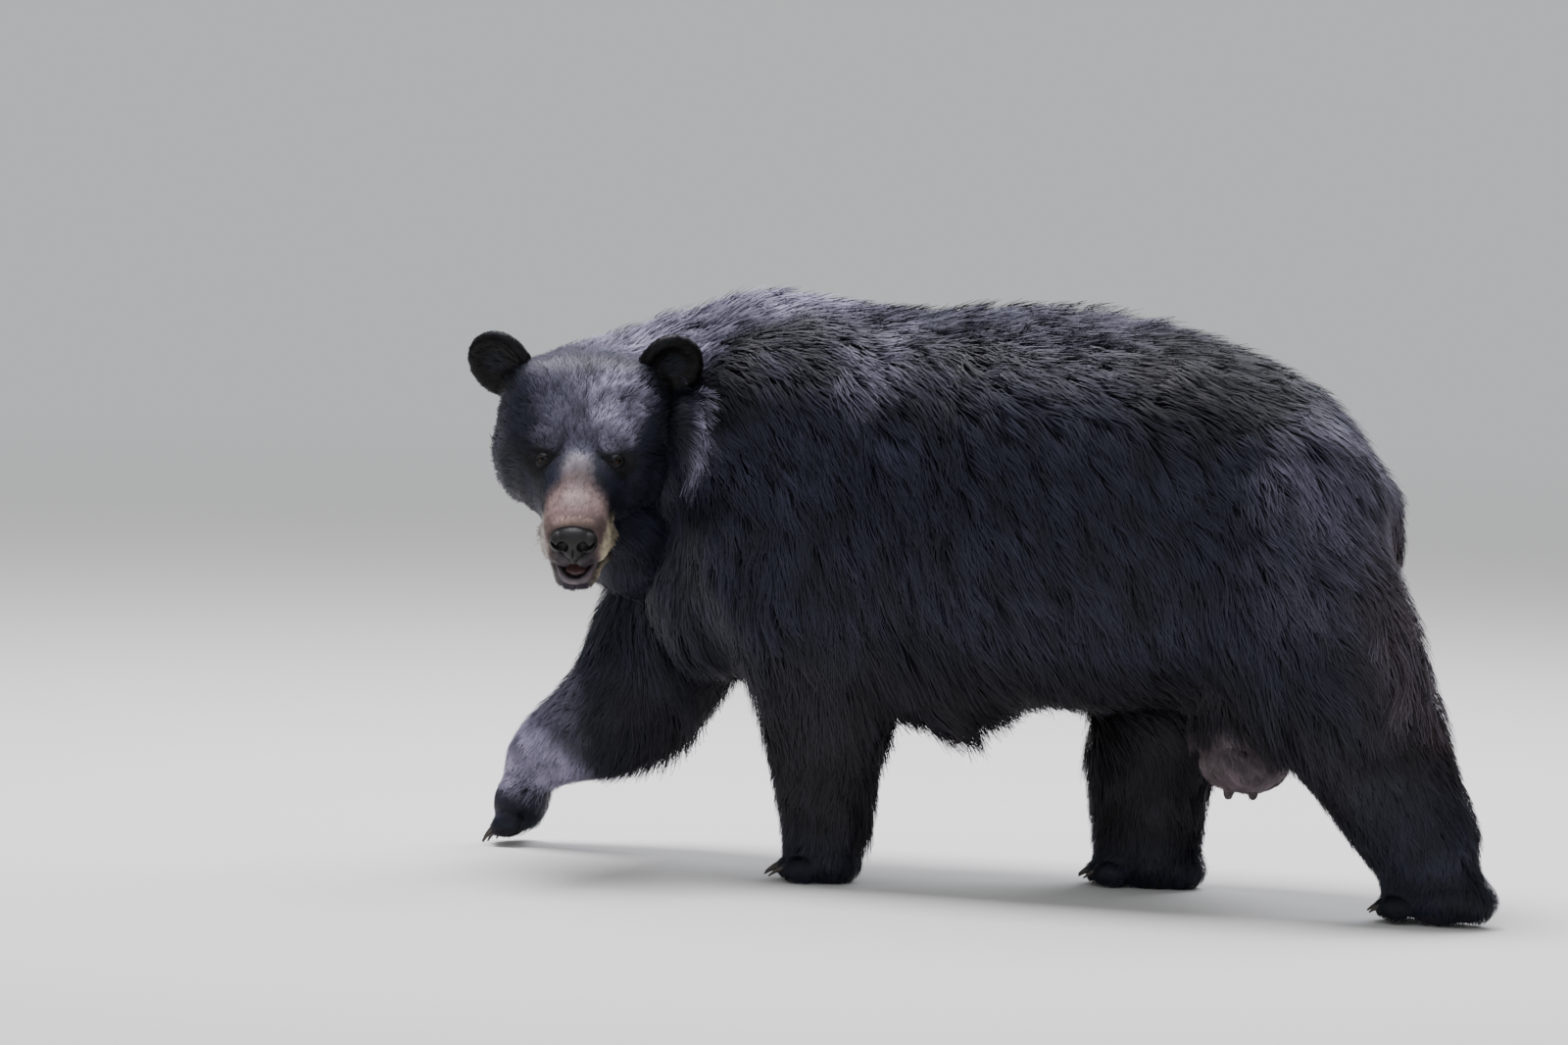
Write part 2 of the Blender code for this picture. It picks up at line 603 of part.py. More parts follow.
def main():
    """Builds the whole model."""
    for old in list(bpy.data.objects):
        bpy.data.objects.remove(old)
    bear = collection("black_bear")
    trunk(bear)
    neck(bear)
    legs(bear)
    tail(bear)
    fused("body", list(bear.objects), bear, COARSE_VOXEL, 10)
    head(bear)
    for paw in PAWS:
        paw_masses(bear, paw)
    flesh = fused("flesh", list(bear.objects), bear, FINE_VOXEL, 3)
    modified(flesh, "DECIMATE", ratio=FLESH_TRIANGLES / (2 * len(flesh.data.polygons)))
    levelled(flesh, bear)
    for label, sign in (("left", 1), ("right", -1)):
        ear(f"ear_{label}", bear, sign, flesh)

    head_piece = parted(flesh, bear)
    for paw in PAWS:
        for claw in claws(bear, paw):
            combined(bpy.data.objects[paw.name], "UNION", claw)
        levelled(bpy.data.objects[paw.name], bear)
    combined(head_piece, "DIFFERENCE", mouth(bear))
    _, head_piece = split(head_piece, ("jaw", "head"), head_frame() @ Vector(CHIN))
    for label, sign in (("left", 1), ("right", -1)):
        socketed(f"eye_{label}", bear, mirrored(EYE_AT, sign), [EYE_RADIUS] * 3, head_piece, 6)
    nose_radii = (NOSE_HALF_DEPTH, NOSE_HALF_WIDTH, NOSE_HALF_HEIGHT)
    socketed("nose", bear, NOSE_AT, nose_radii, head_piece, 8)

    pieces = list(bear.objects)
    centred(pieces)
    for piece in pieces:
        piece.data.materials.clear()
        colour, roughness = look_of(piece.name)
        piece.data.materials.append(material(piece.name, colour, roughness))


if __name__ == "__main__":
    main()
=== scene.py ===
"""Looks of a still, life-size black bear sow, walking with her head turned to her left.

One skin replaces the frame's solids of flesh and lies inside them by the depth of the coat. The coat
is solid tufts that Geometry Nodes plant on that skin and lay along it, in one piece for each part of
the body. Eyes, nose, tongue and claws are pieces of their own. Lengths are metres in the frame's axes:
the bear walks towards -Y, her left side is +X and the floor is z = 0.
"""

from __future__ import annotations

import logging
import math
from dataclasses import dataclass, field
from enum import Enum
from typing import Iterable, Iterator, Sequence

import bmesh
import bpy
import numpy as np
from bpy.types import Material, Mesh, Node, NodeSocket, NodeTree
from bpy.types import Object as Part
from mathutils import Matrix, Vector, noise
from mathutils.kdtree import KDTree

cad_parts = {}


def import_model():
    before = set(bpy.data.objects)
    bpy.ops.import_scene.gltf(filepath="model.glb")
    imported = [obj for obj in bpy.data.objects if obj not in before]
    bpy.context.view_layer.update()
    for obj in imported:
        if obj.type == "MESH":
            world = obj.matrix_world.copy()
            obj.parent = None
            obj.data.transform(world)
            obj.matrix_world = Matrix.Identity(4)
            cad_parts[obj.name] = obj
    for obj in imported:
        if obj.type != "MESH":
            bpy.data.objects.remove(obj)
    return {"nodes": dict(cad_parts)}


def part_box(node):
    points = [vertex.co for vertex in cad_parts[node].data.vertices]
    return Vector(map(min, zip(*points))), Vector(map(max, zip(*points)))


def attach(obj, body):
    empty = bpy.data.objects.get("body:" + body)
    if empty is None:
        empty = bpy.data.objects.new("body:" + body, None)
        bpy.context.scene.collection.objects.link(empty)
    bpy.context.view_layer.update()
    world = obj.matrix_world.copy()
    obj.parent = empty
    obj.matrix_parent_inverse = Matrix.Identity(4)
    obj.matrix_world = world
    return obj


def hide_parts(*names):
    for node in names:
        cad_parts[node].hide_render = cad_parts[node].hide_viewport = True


LOG = logging.getLogger("black_bear")

X, Y, Z = Vector((1, 0, 0)), Vector((0, 1, 0)), Vector((0, 0, 1))
SIDES = (1, -1)  # her left and her right, as signs of X or of the head's left
BODY = "root"
SEED = 7
FLOOR_GAP = 0.0004  # the lowest that skin and hair reach above the floor
FLESH = ("head", "jaw", "neck", "chest", "belly", "rump", "tail", "ear_left", "ear_right",
         "shoulder_left", "shoulder_right", "foreleg_left", "foreleg_right",
         "forepaw_left", "forepaw_right", "thigh_left", "thigh_right",
         "hindleg_left", "hindleg_right", "hindpaw_left", "hindpaw_right")


# ---- nodes and their sums
def linear(colour: str) -> tuple[float, float, float, float]:
    """Turns an sRGB hex colour into a linear one.

    Args:
        colour: six hex digits after a #.

    Returns:
        Linear red, green, blue and an alpha of 1.
    """
    parts = [int(colour[i:i + 2], 16) / 255 for i in (1, 3, 5)]
    return (*(c / 12.92 if c <= 0.04045 else ((c + 0.055) / 1.055) ** 2.4 for c in parts), 1.0)


@dataclass(frozen=True)
class Field:
    """What a node gives. A number or vector takes sums as plain numbers do."""

    socket: NodeSocket

    @property
    def is_number(self) -> bool:
        """Whether it is a single number, and no vector or colour."""
        return self.socket.type in ("VALUE", "INT")

    def then(self, operation: str, *values: Field | float | tuple, swapped: bool = False) -> Field:
        """What a sum makes of this value and others.

        Args:
            operation: the name of the sum.
            values: the other values in their order.
            swapped: whether this value comes last and not first.

        Returns:
            The result.
        """
        given = (*values, self) if swapped else (self, *values)
        keys = (0, "Scale") if operation == "SCALE" else range(len(given))
        kind = "ShaderNodeMath" if self.is_number else "ShaderNodeVectorMath"
        return out(add_node(self.socket.id_data, kind, dict(zip(keys, given)), operation=operation))

    def __add__(self, other: Field | float | tuple) -> Field:
        """This plus the other."""
        return self.then("ADD", other)

    def __sub__(self, other: Field | float | tuple) -> Field:
        """This less the other."""
        return self.then("SUBTRACT", other)

    def __rsub__(self, other: float) -> Field:
        """The other less this."""
        return self.then("SUBTRACT", other, swapped=True)

    def __mul__(self, other: Field | float) -> Field:
        """This times a number."""
        return self.then("MULTIPLY" if self.is_number else "SCALE", other)

    def __truediv__(self, other: Field | float) -> Field:
        """This over the other."""
        return self.then("DIVIDE", other)

    def __rtruediv__(self, other: float) -> Field:
        """The other over this."""
        return self.then("DIVIDE", other, swapped=True)

    def __pow__(self, power: float) -> Field:
        """This to a power."""
        return self.then("POWER", power)


def add_node(tree: NodeTree, kind: str, inputs: dict | None = None, **settings) -> Node:
    """Adds a node with its settings, values and links.

    Args:
        tree: the tree that takes the node.
        kind: the node's type.
        inputs: what goes into each socket, as in feed.
        settings: the node's own properties.

    Returns:
        The new node.
    """
    made = tree.nodes.new(kind)
    for name, value in settings.items():
        setattr(made, name, value)
    return feed(made, inputs or {})


def feed(node: Node, inputs: dict) -> Node:
    """Sets a node's sockets.

    Args:
        node: the node.
        inputs: by a socket's name or index, its value or the field that feeds it.

    Returns:
        The same node.
    """
    for key, value in inputs.items():
        if isinstance(key, int):
            socket = node.inputs[key]
        else:
            socket = next(s for s in node.inputs if s.name == key and s.enabled)
        if isinstance(value, Field):
            node.id_data.links.new(value.socket, socket)
        else:
            socket.default_value = value
    return node


def out(node: Node, name: str | int = 0) -> Field:
    """The node's output of that name or index that is in use."""
    if isinstance(name, int):
        return Field([s for s in node.outputs if s.enabled][name])
    return Field(next(s for s in node.outputs if s.name == name and s.enabled))


# ---- meshes
def new_object(name: str, data: bpy.types.ID) -> Part:
    """Puts a mesh, lamp or camera into the scene under a name."""
    made = bpy.data.objects.new(name, data)
    bpy.context.scene.collection.objects.link(made)
    return made


def made_of(name: str, work: bmesh.types.BMesh) -> Part:
    """Turns a bmesh, which is freed, into an object as it is."""
    mesh = bpy.data.meshes.new(name)
    work.to_mesh(mesh)
    work.free()
    return new_object(name, mesh)


def from_bmesh(name: str, work: bmesh.types.BMesh) -> Part:
    """Turns a closed bmesh into an object whose faces point outwards.

    Args:
        name: of the object.
        work: what it is made of, which is freed.

    Returns:
        The object.
    """
    bmesh.ops.recalc_face_normals(work, faces=work.faces)
    if work.calc_volume(signed=True) < 0:
        bmesh.ops.reverse_faces(work, faces=work.faces)
    return made_of(name, work)


def modified(target: Part, kind: str, **settings) -> Part:
    """Gives an object the mesh that one modifier makes of it.

    Args:
        target: the object.
        kind: the modifier's type.
        settings: the modifier's own properties.

    Returns:
        The same object.
    """
    modifier = target.modifiers.new(kind.title(), kind)
    for key, value in settings.items():
        setattr(modifier, key, value)
    return baked(target)


def baked(target: Part) -> Part:
    """Gives an object the mesh that all its modifiers make of it, and removes them.

    Args:
        target: the object.

    Returns:
        The same object.
    """
    bpy.context.view_layer.update()
    graph = bpy.context.evaluated_depsgraph_get()
    mesh = bpy.data.meshes.new_from_object(target.evaluated_get(graph))
    target.modifiers.clear()
    old, target.data = target.data, mesh
    bpy.data.meshes.remove(old)
    return target


def combined(target: Part, operation: str, other: Part) -> Part:
    """A Boolean of two closed meshes. The other object is removed.

    Args:
        target: the object that stays.
        operation: UNION or DIFFERENCE.
        other: what is joined to it or cut from it.

    Returns:
        The object that stays.
    """
    modified(target, "BOOLEAN", operation=operation, object=other, solver="MANIFOLD")
    bpy.data.objects.remove(other)
    return target


def fused(name: str, sources: Iterable[Part], voxel: float, smooth: int) -> Part:
    """One surface round all the sources, which are removed.

    Args:
        name: of the new object.
        sources: closed meshes that overlap.
        voxel: size of the grid.
        smooth: how many times the surface is smoothed.

    Returns:
        The new object.
    """
    work = bmesh.new()
    for source in list(sources):
        work.from_mesh(source.data)
        bpy.data.objects.remove(source)
    made = modified(made_of(name, work), "REMESH", mode="VOXEL", voxel_size=voxel)
    return modified(made, "SMOOTH", factor=0.5, iterations=smooth)


def places(mesh: Mesh) -> np.ndarray:
    """The mesh's vertex positions, one row each."""
    found = np.empty(len(mesh.vertices) * 3, np.float32)
    mesh.vertices.foreach_get("co", found)
    return found.reshape(-1, 3)


def normals(mesh: Mesh) -> np.ndarray:
    """The mesh's vertex normals, one row each."""
    found = np.empty(len(mesh.vertices) * 3, np.float32)
    mesh.vertex_normals.foreach_get("vector", found)
    return found.reshape(-1, 3)


def triangles(mesh: Mesh) -> np.ndarray:
    """The three corners of each triangle of a mesh that has no other faces."""
    found = np.empty(len(mesh.loops), np.int32)
    mesh.loops.foreach_get("vertex_index", found)
    return found.reshape(-1, 3)


def move_to(mesh: Mesh, points: np.ndarray) -> None:
    """Moves the mesh's vertices to new places."""
    mesh.vertices.foreach_set("co", np.ascontiguousarray(points, np.float32).ravel())
    mesh.update()


VALUE_KEYS = {"FLOAT": ("value", 1), "FLOAT_VECTOR": ("vector", 3), "FLOAT_COLOR": ("color", 4)}


def store(mesh: Mesh, name: str, kind: str, values: np.ndarray) -> None:
    """Stores one number, vector or colour for each vertex under a name."""
    layer = mesh.attributes.new(name, kind, "POINT")
    layer.data.foreach_set(VALUE_KEYS[kind][0], np.ascontiguousarray(values, np.float32).ravel())


def unit(vectors: np.ndarray) -> np.ndarray:
    """The rows scaled to length 1."""
    return vectors / np.maximum(np.linalg.norm(vectors, axis=-1, keepdims=True), 1e-9)


def turned(values: np.ndarray, others: np.ndarray | float, share: np.ndarray) -> np.ndarray:
    """Turns each row of values towards another by its share.

    Args:
        values: numbers, vectors or colours, one row each.
        others: what they turn to: one for all rows, or one row each.
        share: 0 leaves a row as it is, and 1 replaces it.

    Returns:
        The turned rows.
    """
    share = share.reshape(-1, *[1] * (values.ndim - 1))
    return values * (1 - share) + others * share


def smoothstep(low: float, high: float, values: np.ndarray) -> np.ndarray:
    """0 below low, 1 above high, and a smooth rise between."""
    t = np.clip((values - low) / (high - low), 0, 1)
    return t * t * (3 - 2 * t)


def spin_of(degrees_xyz: Sequence[float]) -> Matrix:
    """The rotation by angles in degrees about X, then Y, then Z.

    Args:
        degrees_xyz: the three angles.

    Returns:
        The rotation.
    """
    spin = Matrix.Identity(4)
    for axis, angle in zip("XYZ", degrees_xyz):
        spin = Matrix.Rotation(math.radians(angle), 4, axis) @ spin
    return spin


def ellipsoid(name: str, at: Sequence[float], radii: Sequence[float], turn: Sequence[float] = (0, 0, 0),
              frame: Matrix = Matrix.Identity(4), rings: int = 20) -> Part:
    """A closed ellipsoid in a frame, turned by angles in degrees about X, Y and Z.

    Args:
        name: of the object.
        at: its centre.
        radii: along its own axes.
        turn: its angles.
        frame: the axes that centre and angles are given in.
        rings: how many it has from pole to pole.

    Returns:
        The ellipsoid.
    """
    work = bmesh.new()
    bmesh.ops.create_uvsphere(work, u_segments=2 * rings, v_segments=rings, radius=1)
    work.transform(frame @ Matrix.Translation(Vector(at)) @ spin_of(turn) @ Matrix.Diagonal((*radii, 1)))
    return from_bmesh(name, work)


@dataclass(frozen=True)
class Ring:
    """A loft's cross-section: its centre, half its width and half its depth."""

    at: Vector
    across: float
    deep: float


def eased(rings: Sequence[Ring], steps: int) -> list[Ring]:
    """Rings between the given ones, on a Catmull-Rom curve through their numbers.

    Args:
        rings: the given ones.
        steps: how many are made for each.

    Returns:
        All the rings in order.
    """
    rows = [[*ring.at, ring.across, ring.deep] for ring in rings]
    rows = [rows[0], *rows, rows[-1]]
    found = []
    for i in range(1, len(rows) - 2):
        before, a, b, after = rows[i - 1:i + 3]
        for step in range(steps):
            t = step / steps
            found.append([
                0.5 * (2 * q + (r - p) * t + (2 * p - 5 * q + 4 * r - s) * t ** 2
                       + (3 * q - p - 3 * r + s) * t ** 3)
                for p, q, r, s in zip(before, a, b, after)])
    found.append(rows[-2])
    return [Ring(Vector(row[:3]), row[3], row[4]) for row in found]


def loft(name: str, rings: Sequence[Ring], across: Vector = Y, squareness: float = 2.0, bulge: float = 0.6,
         frame: Matrix = Matrix.Identity(4), sides: int = 36, steps: int = 6,
         facing: Vector | None = None) -> Part:
    """A closed solid through rings, with rounded ends.

    Args:
        name: of the object.
        rings: its cross-sections in order.
        across: the direction of their width.
        squareness: 2 for an ellipse, more for a squarer section.
        bulge: how far the ends are rounded, as a share of the ring's size.
        frame: the axes that the rings are given in.
        sides: points round each ring.
        steps: rings made between two given ones.
        facing: the way all rings face, or None to let them face along their path.

    Returns:
        The solid.
    """
    rings = eased(rings, steps)

    def dome(ring: Ring, beside: Ring) -> Iterator[Ring]:
        """Shrinking rings that round off one end.

        Args:
            ring: the end.
            beside: its neighbour.

        Returns:
            The rings, outwards.
        """
        outward = (ring.at - beside.at).normalized()
        height = bulge * (ring.across + ring.deep) / 2
        for angle in (15, 30, 45, 60, 75, 86):
            shrink, rise = math.cos(math.radians(angle)), math.sin(math.radians(angle))
            yield Ring(ring.at + outward * height * rise, ring.across * shrink, ring.deep * shrink)

    rings = [*reversed(list(dome(rings[0], rings[1]))), *rings, *dome(rings[-1], rings[-2])]
    work = bmesh.new()
    hoops = []
    for i, ring in enumerate(rings):
        ahead, behind = rings[min(i + 1, len(rings) - 1)], rings[max(i - 1, 0)]
        along = facing or (ahead.at - behind.at).normalized()
        deep = along.cross(across).normalized()
        wide = deep.cross(along).normalized()
        hoop = []
        for k in range(sides):
            angle = 2 * math.pi * k / sides
            c, s = math.cos(angle), math.sin(angle)
            c = math.copysign(abs(c) ** (2 / squareness), c)
            s = math.copysign(abs(s) ** (2 / squareness), s)
            hoop.append(work.verts.new(ring.at + wide * ring.across * c + deep * ring.deep * s))
        hoops.append(hoop)
    for a, b in zip(hoops, hoops[1:]):
        for k in range(sides):
            n = (k + 1) % sides
            work.faces.new((a[k], a[n], b[n], b[k]))
    work.faces.new(reversed(hoops[0]))
    work.faces.new(hoops[-1])
    work.transform(frame)
    return from_bmesh(name, work)


def box_centre(node: str) -> Vector:
    """The middle of a frame node's box."""
    low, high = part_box(node)
    return (low + high) / 2


# ---- the head's own axes
EYE_AT = Vector((0.08, 0.0443, 0.01))
NOSE_AT = Vector((0.193, 0, -0.036))
HEAD_TURN = 1.6  # degrees that the face turns further to her left than the solids do


def head_axes() -> Matrix:
    """The matrix from the head's axes (forward, left, up) to the model's, found from eyes and nose.

    Returns:
        The matrix.
    """
    left_eye, right_eye = box_centre("eye_left"), box_centre("eye_right")
    middle = (left_eye + right_eye) / 2
    left = (left_eye - right_eye).normalized()
    to_nose = (box_centre("nose") - middle).normalized()
    own = Vector((NOSE_AT.x - EYE_AT.x, 0, NOSE_AT.z - EYE_AT.z)).normalized()
    lifted = to_nose.cross(left).normalized()
    forward = to_nose * own.x - lifted * own.z
    up = to_nose * own.z + lifted * own.x
    turn = Matrix((forward, left, up)).transposed() @ Matrix.Rotation(math.radians(HEAD_TURN), 3, "Z")
    return Matrix.Translation(middle - turn @ Vector((EYE_AT.x, 0, EYE_AT.z))) @ turn.to_4x4()


def into(frame: Matrix, points: np.ndarray) -> np.ndarray:
    """Points of the model in a frame's own axes."""
    back = np.array(frame.inverted(), np.float32)
    return points @ back[:3, :3].T + back[:3, 3]


# ---- how the coat lies
@dataclass(frozen=True)
class Stroke:
    """How the coat lies about one place of the body."""

    at: Vector  # the place
    lie: Vector  # the way the tips point
    length: float  # of a tuft
    depth: float  # from the skin to the coat's surface
    free: float = 0.0  # 0 lies on the body, 1 stands or hangs on its own
    cover: float = 1.0  # share of the full number of tufts
    lift: float = 0.0  # how far the coat stands proud of the solids


@dataclass
class Comb:
    """All the strokes, and the coat's numbers that they give between them."""

    strokes: list[Stroke]
    power: float = 3.5

    def read(self, points: np.ndarray) -> dict[str, np.ndarray]:
        """The coat's numbers at points of the model, weighted by nearness to the strokes.

        Args:
            points: the places, one row each.

        Returns:
            Each number, one row for each place.
        """
        at = np.array([s.at for s in self.strokes], np.float32)
        rows = np.array([[*s.lie, s.length, s.depth, s.free, s.cover, s.lift] for s in self.strokes],
                        np.float32)
        found = np.empty((len(points), rows.shape[1]), np.float32)
        for start in range(0, len(points), 20000):
            part = points[start:start + 20000]
            square = ((part[:, None] - at[None]) ** 2).sum(-1) + 2e-5
            weight = square ** (-self.power / 2)
            found[start:start + 20000] = (weight @ rows) / weight.sum(1, keepdims=True)
        names = ("length", "depth", "free", "cover", "lift")
        return {"lie": found[:, :3], **dict(zip(names, found[:, 3:].T))}


def head_strokes(frame: Matrix) -> Iterator[Stroke]:
    """How the hair lies on the head, given in the head's axes on its left side and mirrored.

    Args:
        frame: the head's axes.

    Returns:
        The strokes.
    """
    rows = (
        # at, lie, length, depth and, where it isn't 0, free
        ((0.18, 0, -0.008), (-1, 0, 0.3), 0.0045, 0.0012),
        ((0.15, 0.01, 0.006), (-1, 0.1, 0.3), 0.006, 0.0016),
        ((0.12, 0.01, 0.016), (-1, 0.1, 0.4), 0.0075, 0.0022),
        ((0.095, 0.01, 0.028), (-1, 0.2, 0.7), 0.0095, 0.0035),
        ((0.15, 0.038, -0.03), (-1, 0.2, -0.1), 0.0065, 0.0018),
        ((0.16, 0.036, -0.06), (-1, 0.3, -0.5), 0.008, 0.0022, 0.1),
        ((0.12, 0.042, -0.06), (-1, 0.3, -0.5), 0.011, 0.0035, 0.2),
        ((0.134, 0.045, -0.073), (-0.5, 0.3, -0.3), 0.028, 0.026, 0.55),
        ((0.121, 0.047, -0.079), (-0.6, 0.3, -0.4), 0.028, 0.022, 0.6),
        ((0.147, 0.04, -0.078), (-0.5, 0.3, -0.3), 0.016, 0.01, 0.4),
        ((0.11, 0.044, -0.03), (-1, 0.3, 0), 0.009, 0.0028),
        ((0.185, 0.012, -0.065), (-0.6, 0.6, -0.6), 0.005, 0.0012),
        ((0.07, 0.016, 0.046), (-1, 0.2, 0.8), 0.013, 0.0055),
        ((0.06, 0.04, 0.05), (-0.9, 0.5, 0.7), 0.013, 0.006),
        ((0.088, 0.028, 0.016), (-0.4, -0.5, 0.8), 0.0065, 0.0025),
        ((0.076, 0.062, 0.006), (-0.9, 0.7, -0.1), 0.008, 0.003),
        ((0.078, 0.046, -0.012), (-0.5, 0.5, -0.8), 0.008, 0.003),
        ((0.02, 0, 0.095), (-1, 0, 0.5), 0.02, 0.01),
        ((0.02, 0.045, 0.088), (-1, 0.5, 0.4), 0.02, 0.01),
        ((-0.03, 0, 0.112), (-1, 0, 0.1), 0.026, 0.013),
        ((-0.08, 0, 0.115), (-1, 0, -0.1), 0.036, 0.019),
        ((-0.03, 0.06, 0.1), (-1, 0.4, 0.2), 0.022, 0.01),
        ((0.02, 0.088, 0.045), (-1, 0.5, 0.1), 0.02, 0.009),
        ((0.04, 0.095, -0.01), (-1, 0.5, -0.4), 0.022, 0.009),
        ((0.05, 0.085, -0.045), (-1, 0.4, -0.7), 0.022, 0.009, 0.1),
        ((0.085, 0.058, -0.045), (-1, 0.5, -0.5), 0.014, 0.005, 0.1),
        ((-0.01, 0.112, -0.01), (-1, 0.3, -0.5), 0.032, 0.014),
        ((-0.01, 0.105, -0.065), (-0.9, 0.3, -0.9), 0.036, 0.015, 0.2),
        ((-0.07, 0.105, 0.01), (-1, 0.1, -0.4), 0.042, 0.02),
        ((0.01, 0.112, 0.04), (-0.3, 0.8, -0.5), 0.02, 0.009),
        ((0.005, 0.15, 0.03), (-0.4, 0.6, -0.9), 0.03, 0.012, 0.1),
        ((0.015, 0.145, -0.03), (-0.4, 0.4, -1.0), 0.034, 0.013, 0.1),
        ((0.01, 0.125, -0.08), (-0.5, 0.3, -1.0), 0.036, 0.013, 0.1),
        ((-0.06, 0.085, -0.08), (-0.9, 0.1, -0.9), 0.045, 0.022, 0.25),
        ((0.1, 0.036, -0.1), (-1, 0.2, -0.4), 0.011, 0.0035, 0.1),
        ((0.15, 0.02, -0.112), (-1, 0.1, -0.3), 0.007, 0.002, 0.1),
        ((0.06, 0.02, -0.117), (-1, 0.1, -0.4), 0.02, 0.009, 0.1),
        ((0, 0.02, -0.12), (-1, 0.1, -0.5), 0.038, 0.014, 0.1),
        ((0.04, 0.06, -0.115), (-1, 0.2, -0.8), 0.03, 0.01, 0.2),
        ((0.01, 0.075, -0.135), (-1, 0.2, -0.9), 0.038, 0.013, 0.2),
        ((0.02, 0.03, -0.15), (-1, 0.1, -0.9), 0.04, 0.013, 0.1),
    )
    turn = frame.to_3x3()
    for at, lie, length, depth, *free in rows:
        for sign in SIDES if at[1] else (1,):
            yield Stroke(frame @ Vector((at[0], sign * at[1], at[2])),
                         turn @ Vector((lie[0], sign * lie[1], lie[2])).normalized(),
                         length, depth, *free)


def trunk_strokes() -> Iterator[Stroke]:
    """How the hair lies on chest, belly and rump: back along the spine, and down the flanks.

    Returns:
        The strokes.
    """
    low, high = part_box("belly")
    rump_low, rump_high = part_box("rump")
    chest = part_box("chest")[0]
    middle, half = (low.x + high.x) / 2, (high.x - low.x) / 2
    top, bottom = high.z, 0.32 * high.z
    front, rear = chest.y + 0.02, rump_high.y - 0.1
    rows = (
        # share of half width, share of height, backwards, down, length, depth, free
        (0, 1.0, 1.0, 0.05, 0.052, 0.03, 0),
        (0.62, 0.88, 0.85, 0.45, 0.05, 0.03, 0),
        (0.98, 0.6, 0.62, 0.78, 0.048, 0.03, 0),
        (0.98, 0.32, 0.5, 0.87, 0.052, 0.03, 0),
        (0.8, 0.08, 0.45, 0.89, 0.066, 0.028, 0.6),
        (0.35, 0, 0.8, 0.4, 0.058, 0.022, 0.55),
    )
    stations = 8
    for i in range(stations):
        t = i / (stations - 1)
        y = front + (rear - front) * t
        taper = 1 - 0.28 * abs(2 * t - 0.95) ** 3
        steeper = 0.35 * (1 - t) + 0.25 * max(0.0, t - 0.75) * 4
        for wide, tall, backwards, down, length, depth, free in rows:
            height = bottom + (top - bottom) * (0.5 + (tall - 0.5) * taper)
            for sign in SIDES if wide else (1,):
                yield Stroke(Vector((middle + sign * wide * half * taper, y, height)),
                             Vector((0, backwards - steeper * 0.5, -down - steeper * 0.5)).normalized(),
                             length, depth, free)
    for side in (-0.55, 0, 0.55):
        for tall in (0.45, 0.62, 0.8):
            yield Stroke(Vector((middle + side * half, rump_high.y - 0.03 - 0.07 * (tall > 0.7), tall * top)),
                         Vector((0.1 * side, 0.25, -1)).normalized(), 0.058, 0.03, 0.35)
    udder = Vector((middle + 0.03, 0.34, rump_low.z + 0.03))
    for shift in ((0, 0, 0), (0.03, -0.05, 0.01), (0.03, 0.05, 0.01), (-0.05, 0, 0)):
        yield Stroke(udder + Vector(shift), Vector((0.2, 0.3, -1)).normalized(), 0.02, 0.006, 0.1)
    yield Stroke(Vector((middle + 0.05, -0.015, chest.z)), Vector((0, 0.6, -0.6)), 0.02, 0.008, 0.1)
    for y in (0.0, 0.05, 0.1):
        for x in (-0.03, 0.04):
            yield Stroke(Vector((middle + x, y, top)), Vector((0.4 * (x > 0) - 0.2, 1, 0.5)).normalized(),
                         0.054, 0.034, 0.6, lift=0.02)
    tail = box_centre("tail")
    for rise in (0.02, -0.03):
        yield Stroke(tail + Vector((0, 0.018, rise)), Vector((0, 0.1, -1)), 0.04, 0.011, 0.2)
    for side in (-0.4, 0, 0.4):
        yield Stroke(Vector((middle + side * half, chest.y + 0.01, 0.42)), Vector((0, 0.3, -1)),
                     0.05, 0.022, 0.12)


def neck_strokes(frame: Matrix) -> Iterator[Stroke]:
    """How the hair lies on the neck: from the back of the head towards the shoulders.

    Args:
        frame: the head's axes.

    Returns:
        The strokes.
    """
    hump = Vector((box_centre("chest").x, box_centre("neck").y + 0.12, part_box("neck")[1].z))
    crown = frame @ Vector((-0.09, 0, 0.11))
    low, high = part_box("neck")
    for t in (0.25, 0.6, 0.95):
        yield Stroke(crown.lerp(hump, t), (hump - crown).normalized(), 0.05, 0.03)
    for sign, x in ((1, high.x), (-1, low.x)):
        near = frame @ Vector((-0.08, sign * 0.1, -0.02))
        away = Vector((box_centre("chest").x + sign * 0.14, hump.y + 0.05, 0.5))
        way = (away - near).normalized() + Vector((0, 0, -0.55))
        for t in (0.1, 0.45, 0.8):
            yield Stroke(near.lerp(away, t), way.normalized(), 0.052, 0.03, 0.1)
    for x, y, z, down in ((0.05, -0.35, 0.665, 0.3), (0.07, -0.34, 0.625, 0.5), (0.085, -0.325, 0.575, 0.8),
                          (0.085, -0.31, 0.52, 1.0)):
        yield Stroke(Vector((x, y, z)), Vector((0.05, 0.9, -down)).normalized(), 0.046, 0.026)
    throat = frame @ Vector((-0.05, 0, -0.13))
    brisket = Vector((box_centre("chest").x, low.y + 0.16, 0.36))
    for t in (0.1, 0.5, 0.9):
        way = (brisket - throat).normalized() + Vector((0, 0, -0.6))
        yield Stroke(throat.lerp(brisket, t), way.normalized(), 0.05, 0.018, 0.12)


LIMBS = (
    ("shoulder_left", "foreleg_left", "forepaw_left"),
    ("shoulder_right", "foreleg_right", "forepaw_right"),
    ("thigh_left", "hindleg_left", "hindpaw_left"),
    ("thigh_right", "hindleg_right", "hindpaw_right"),
)


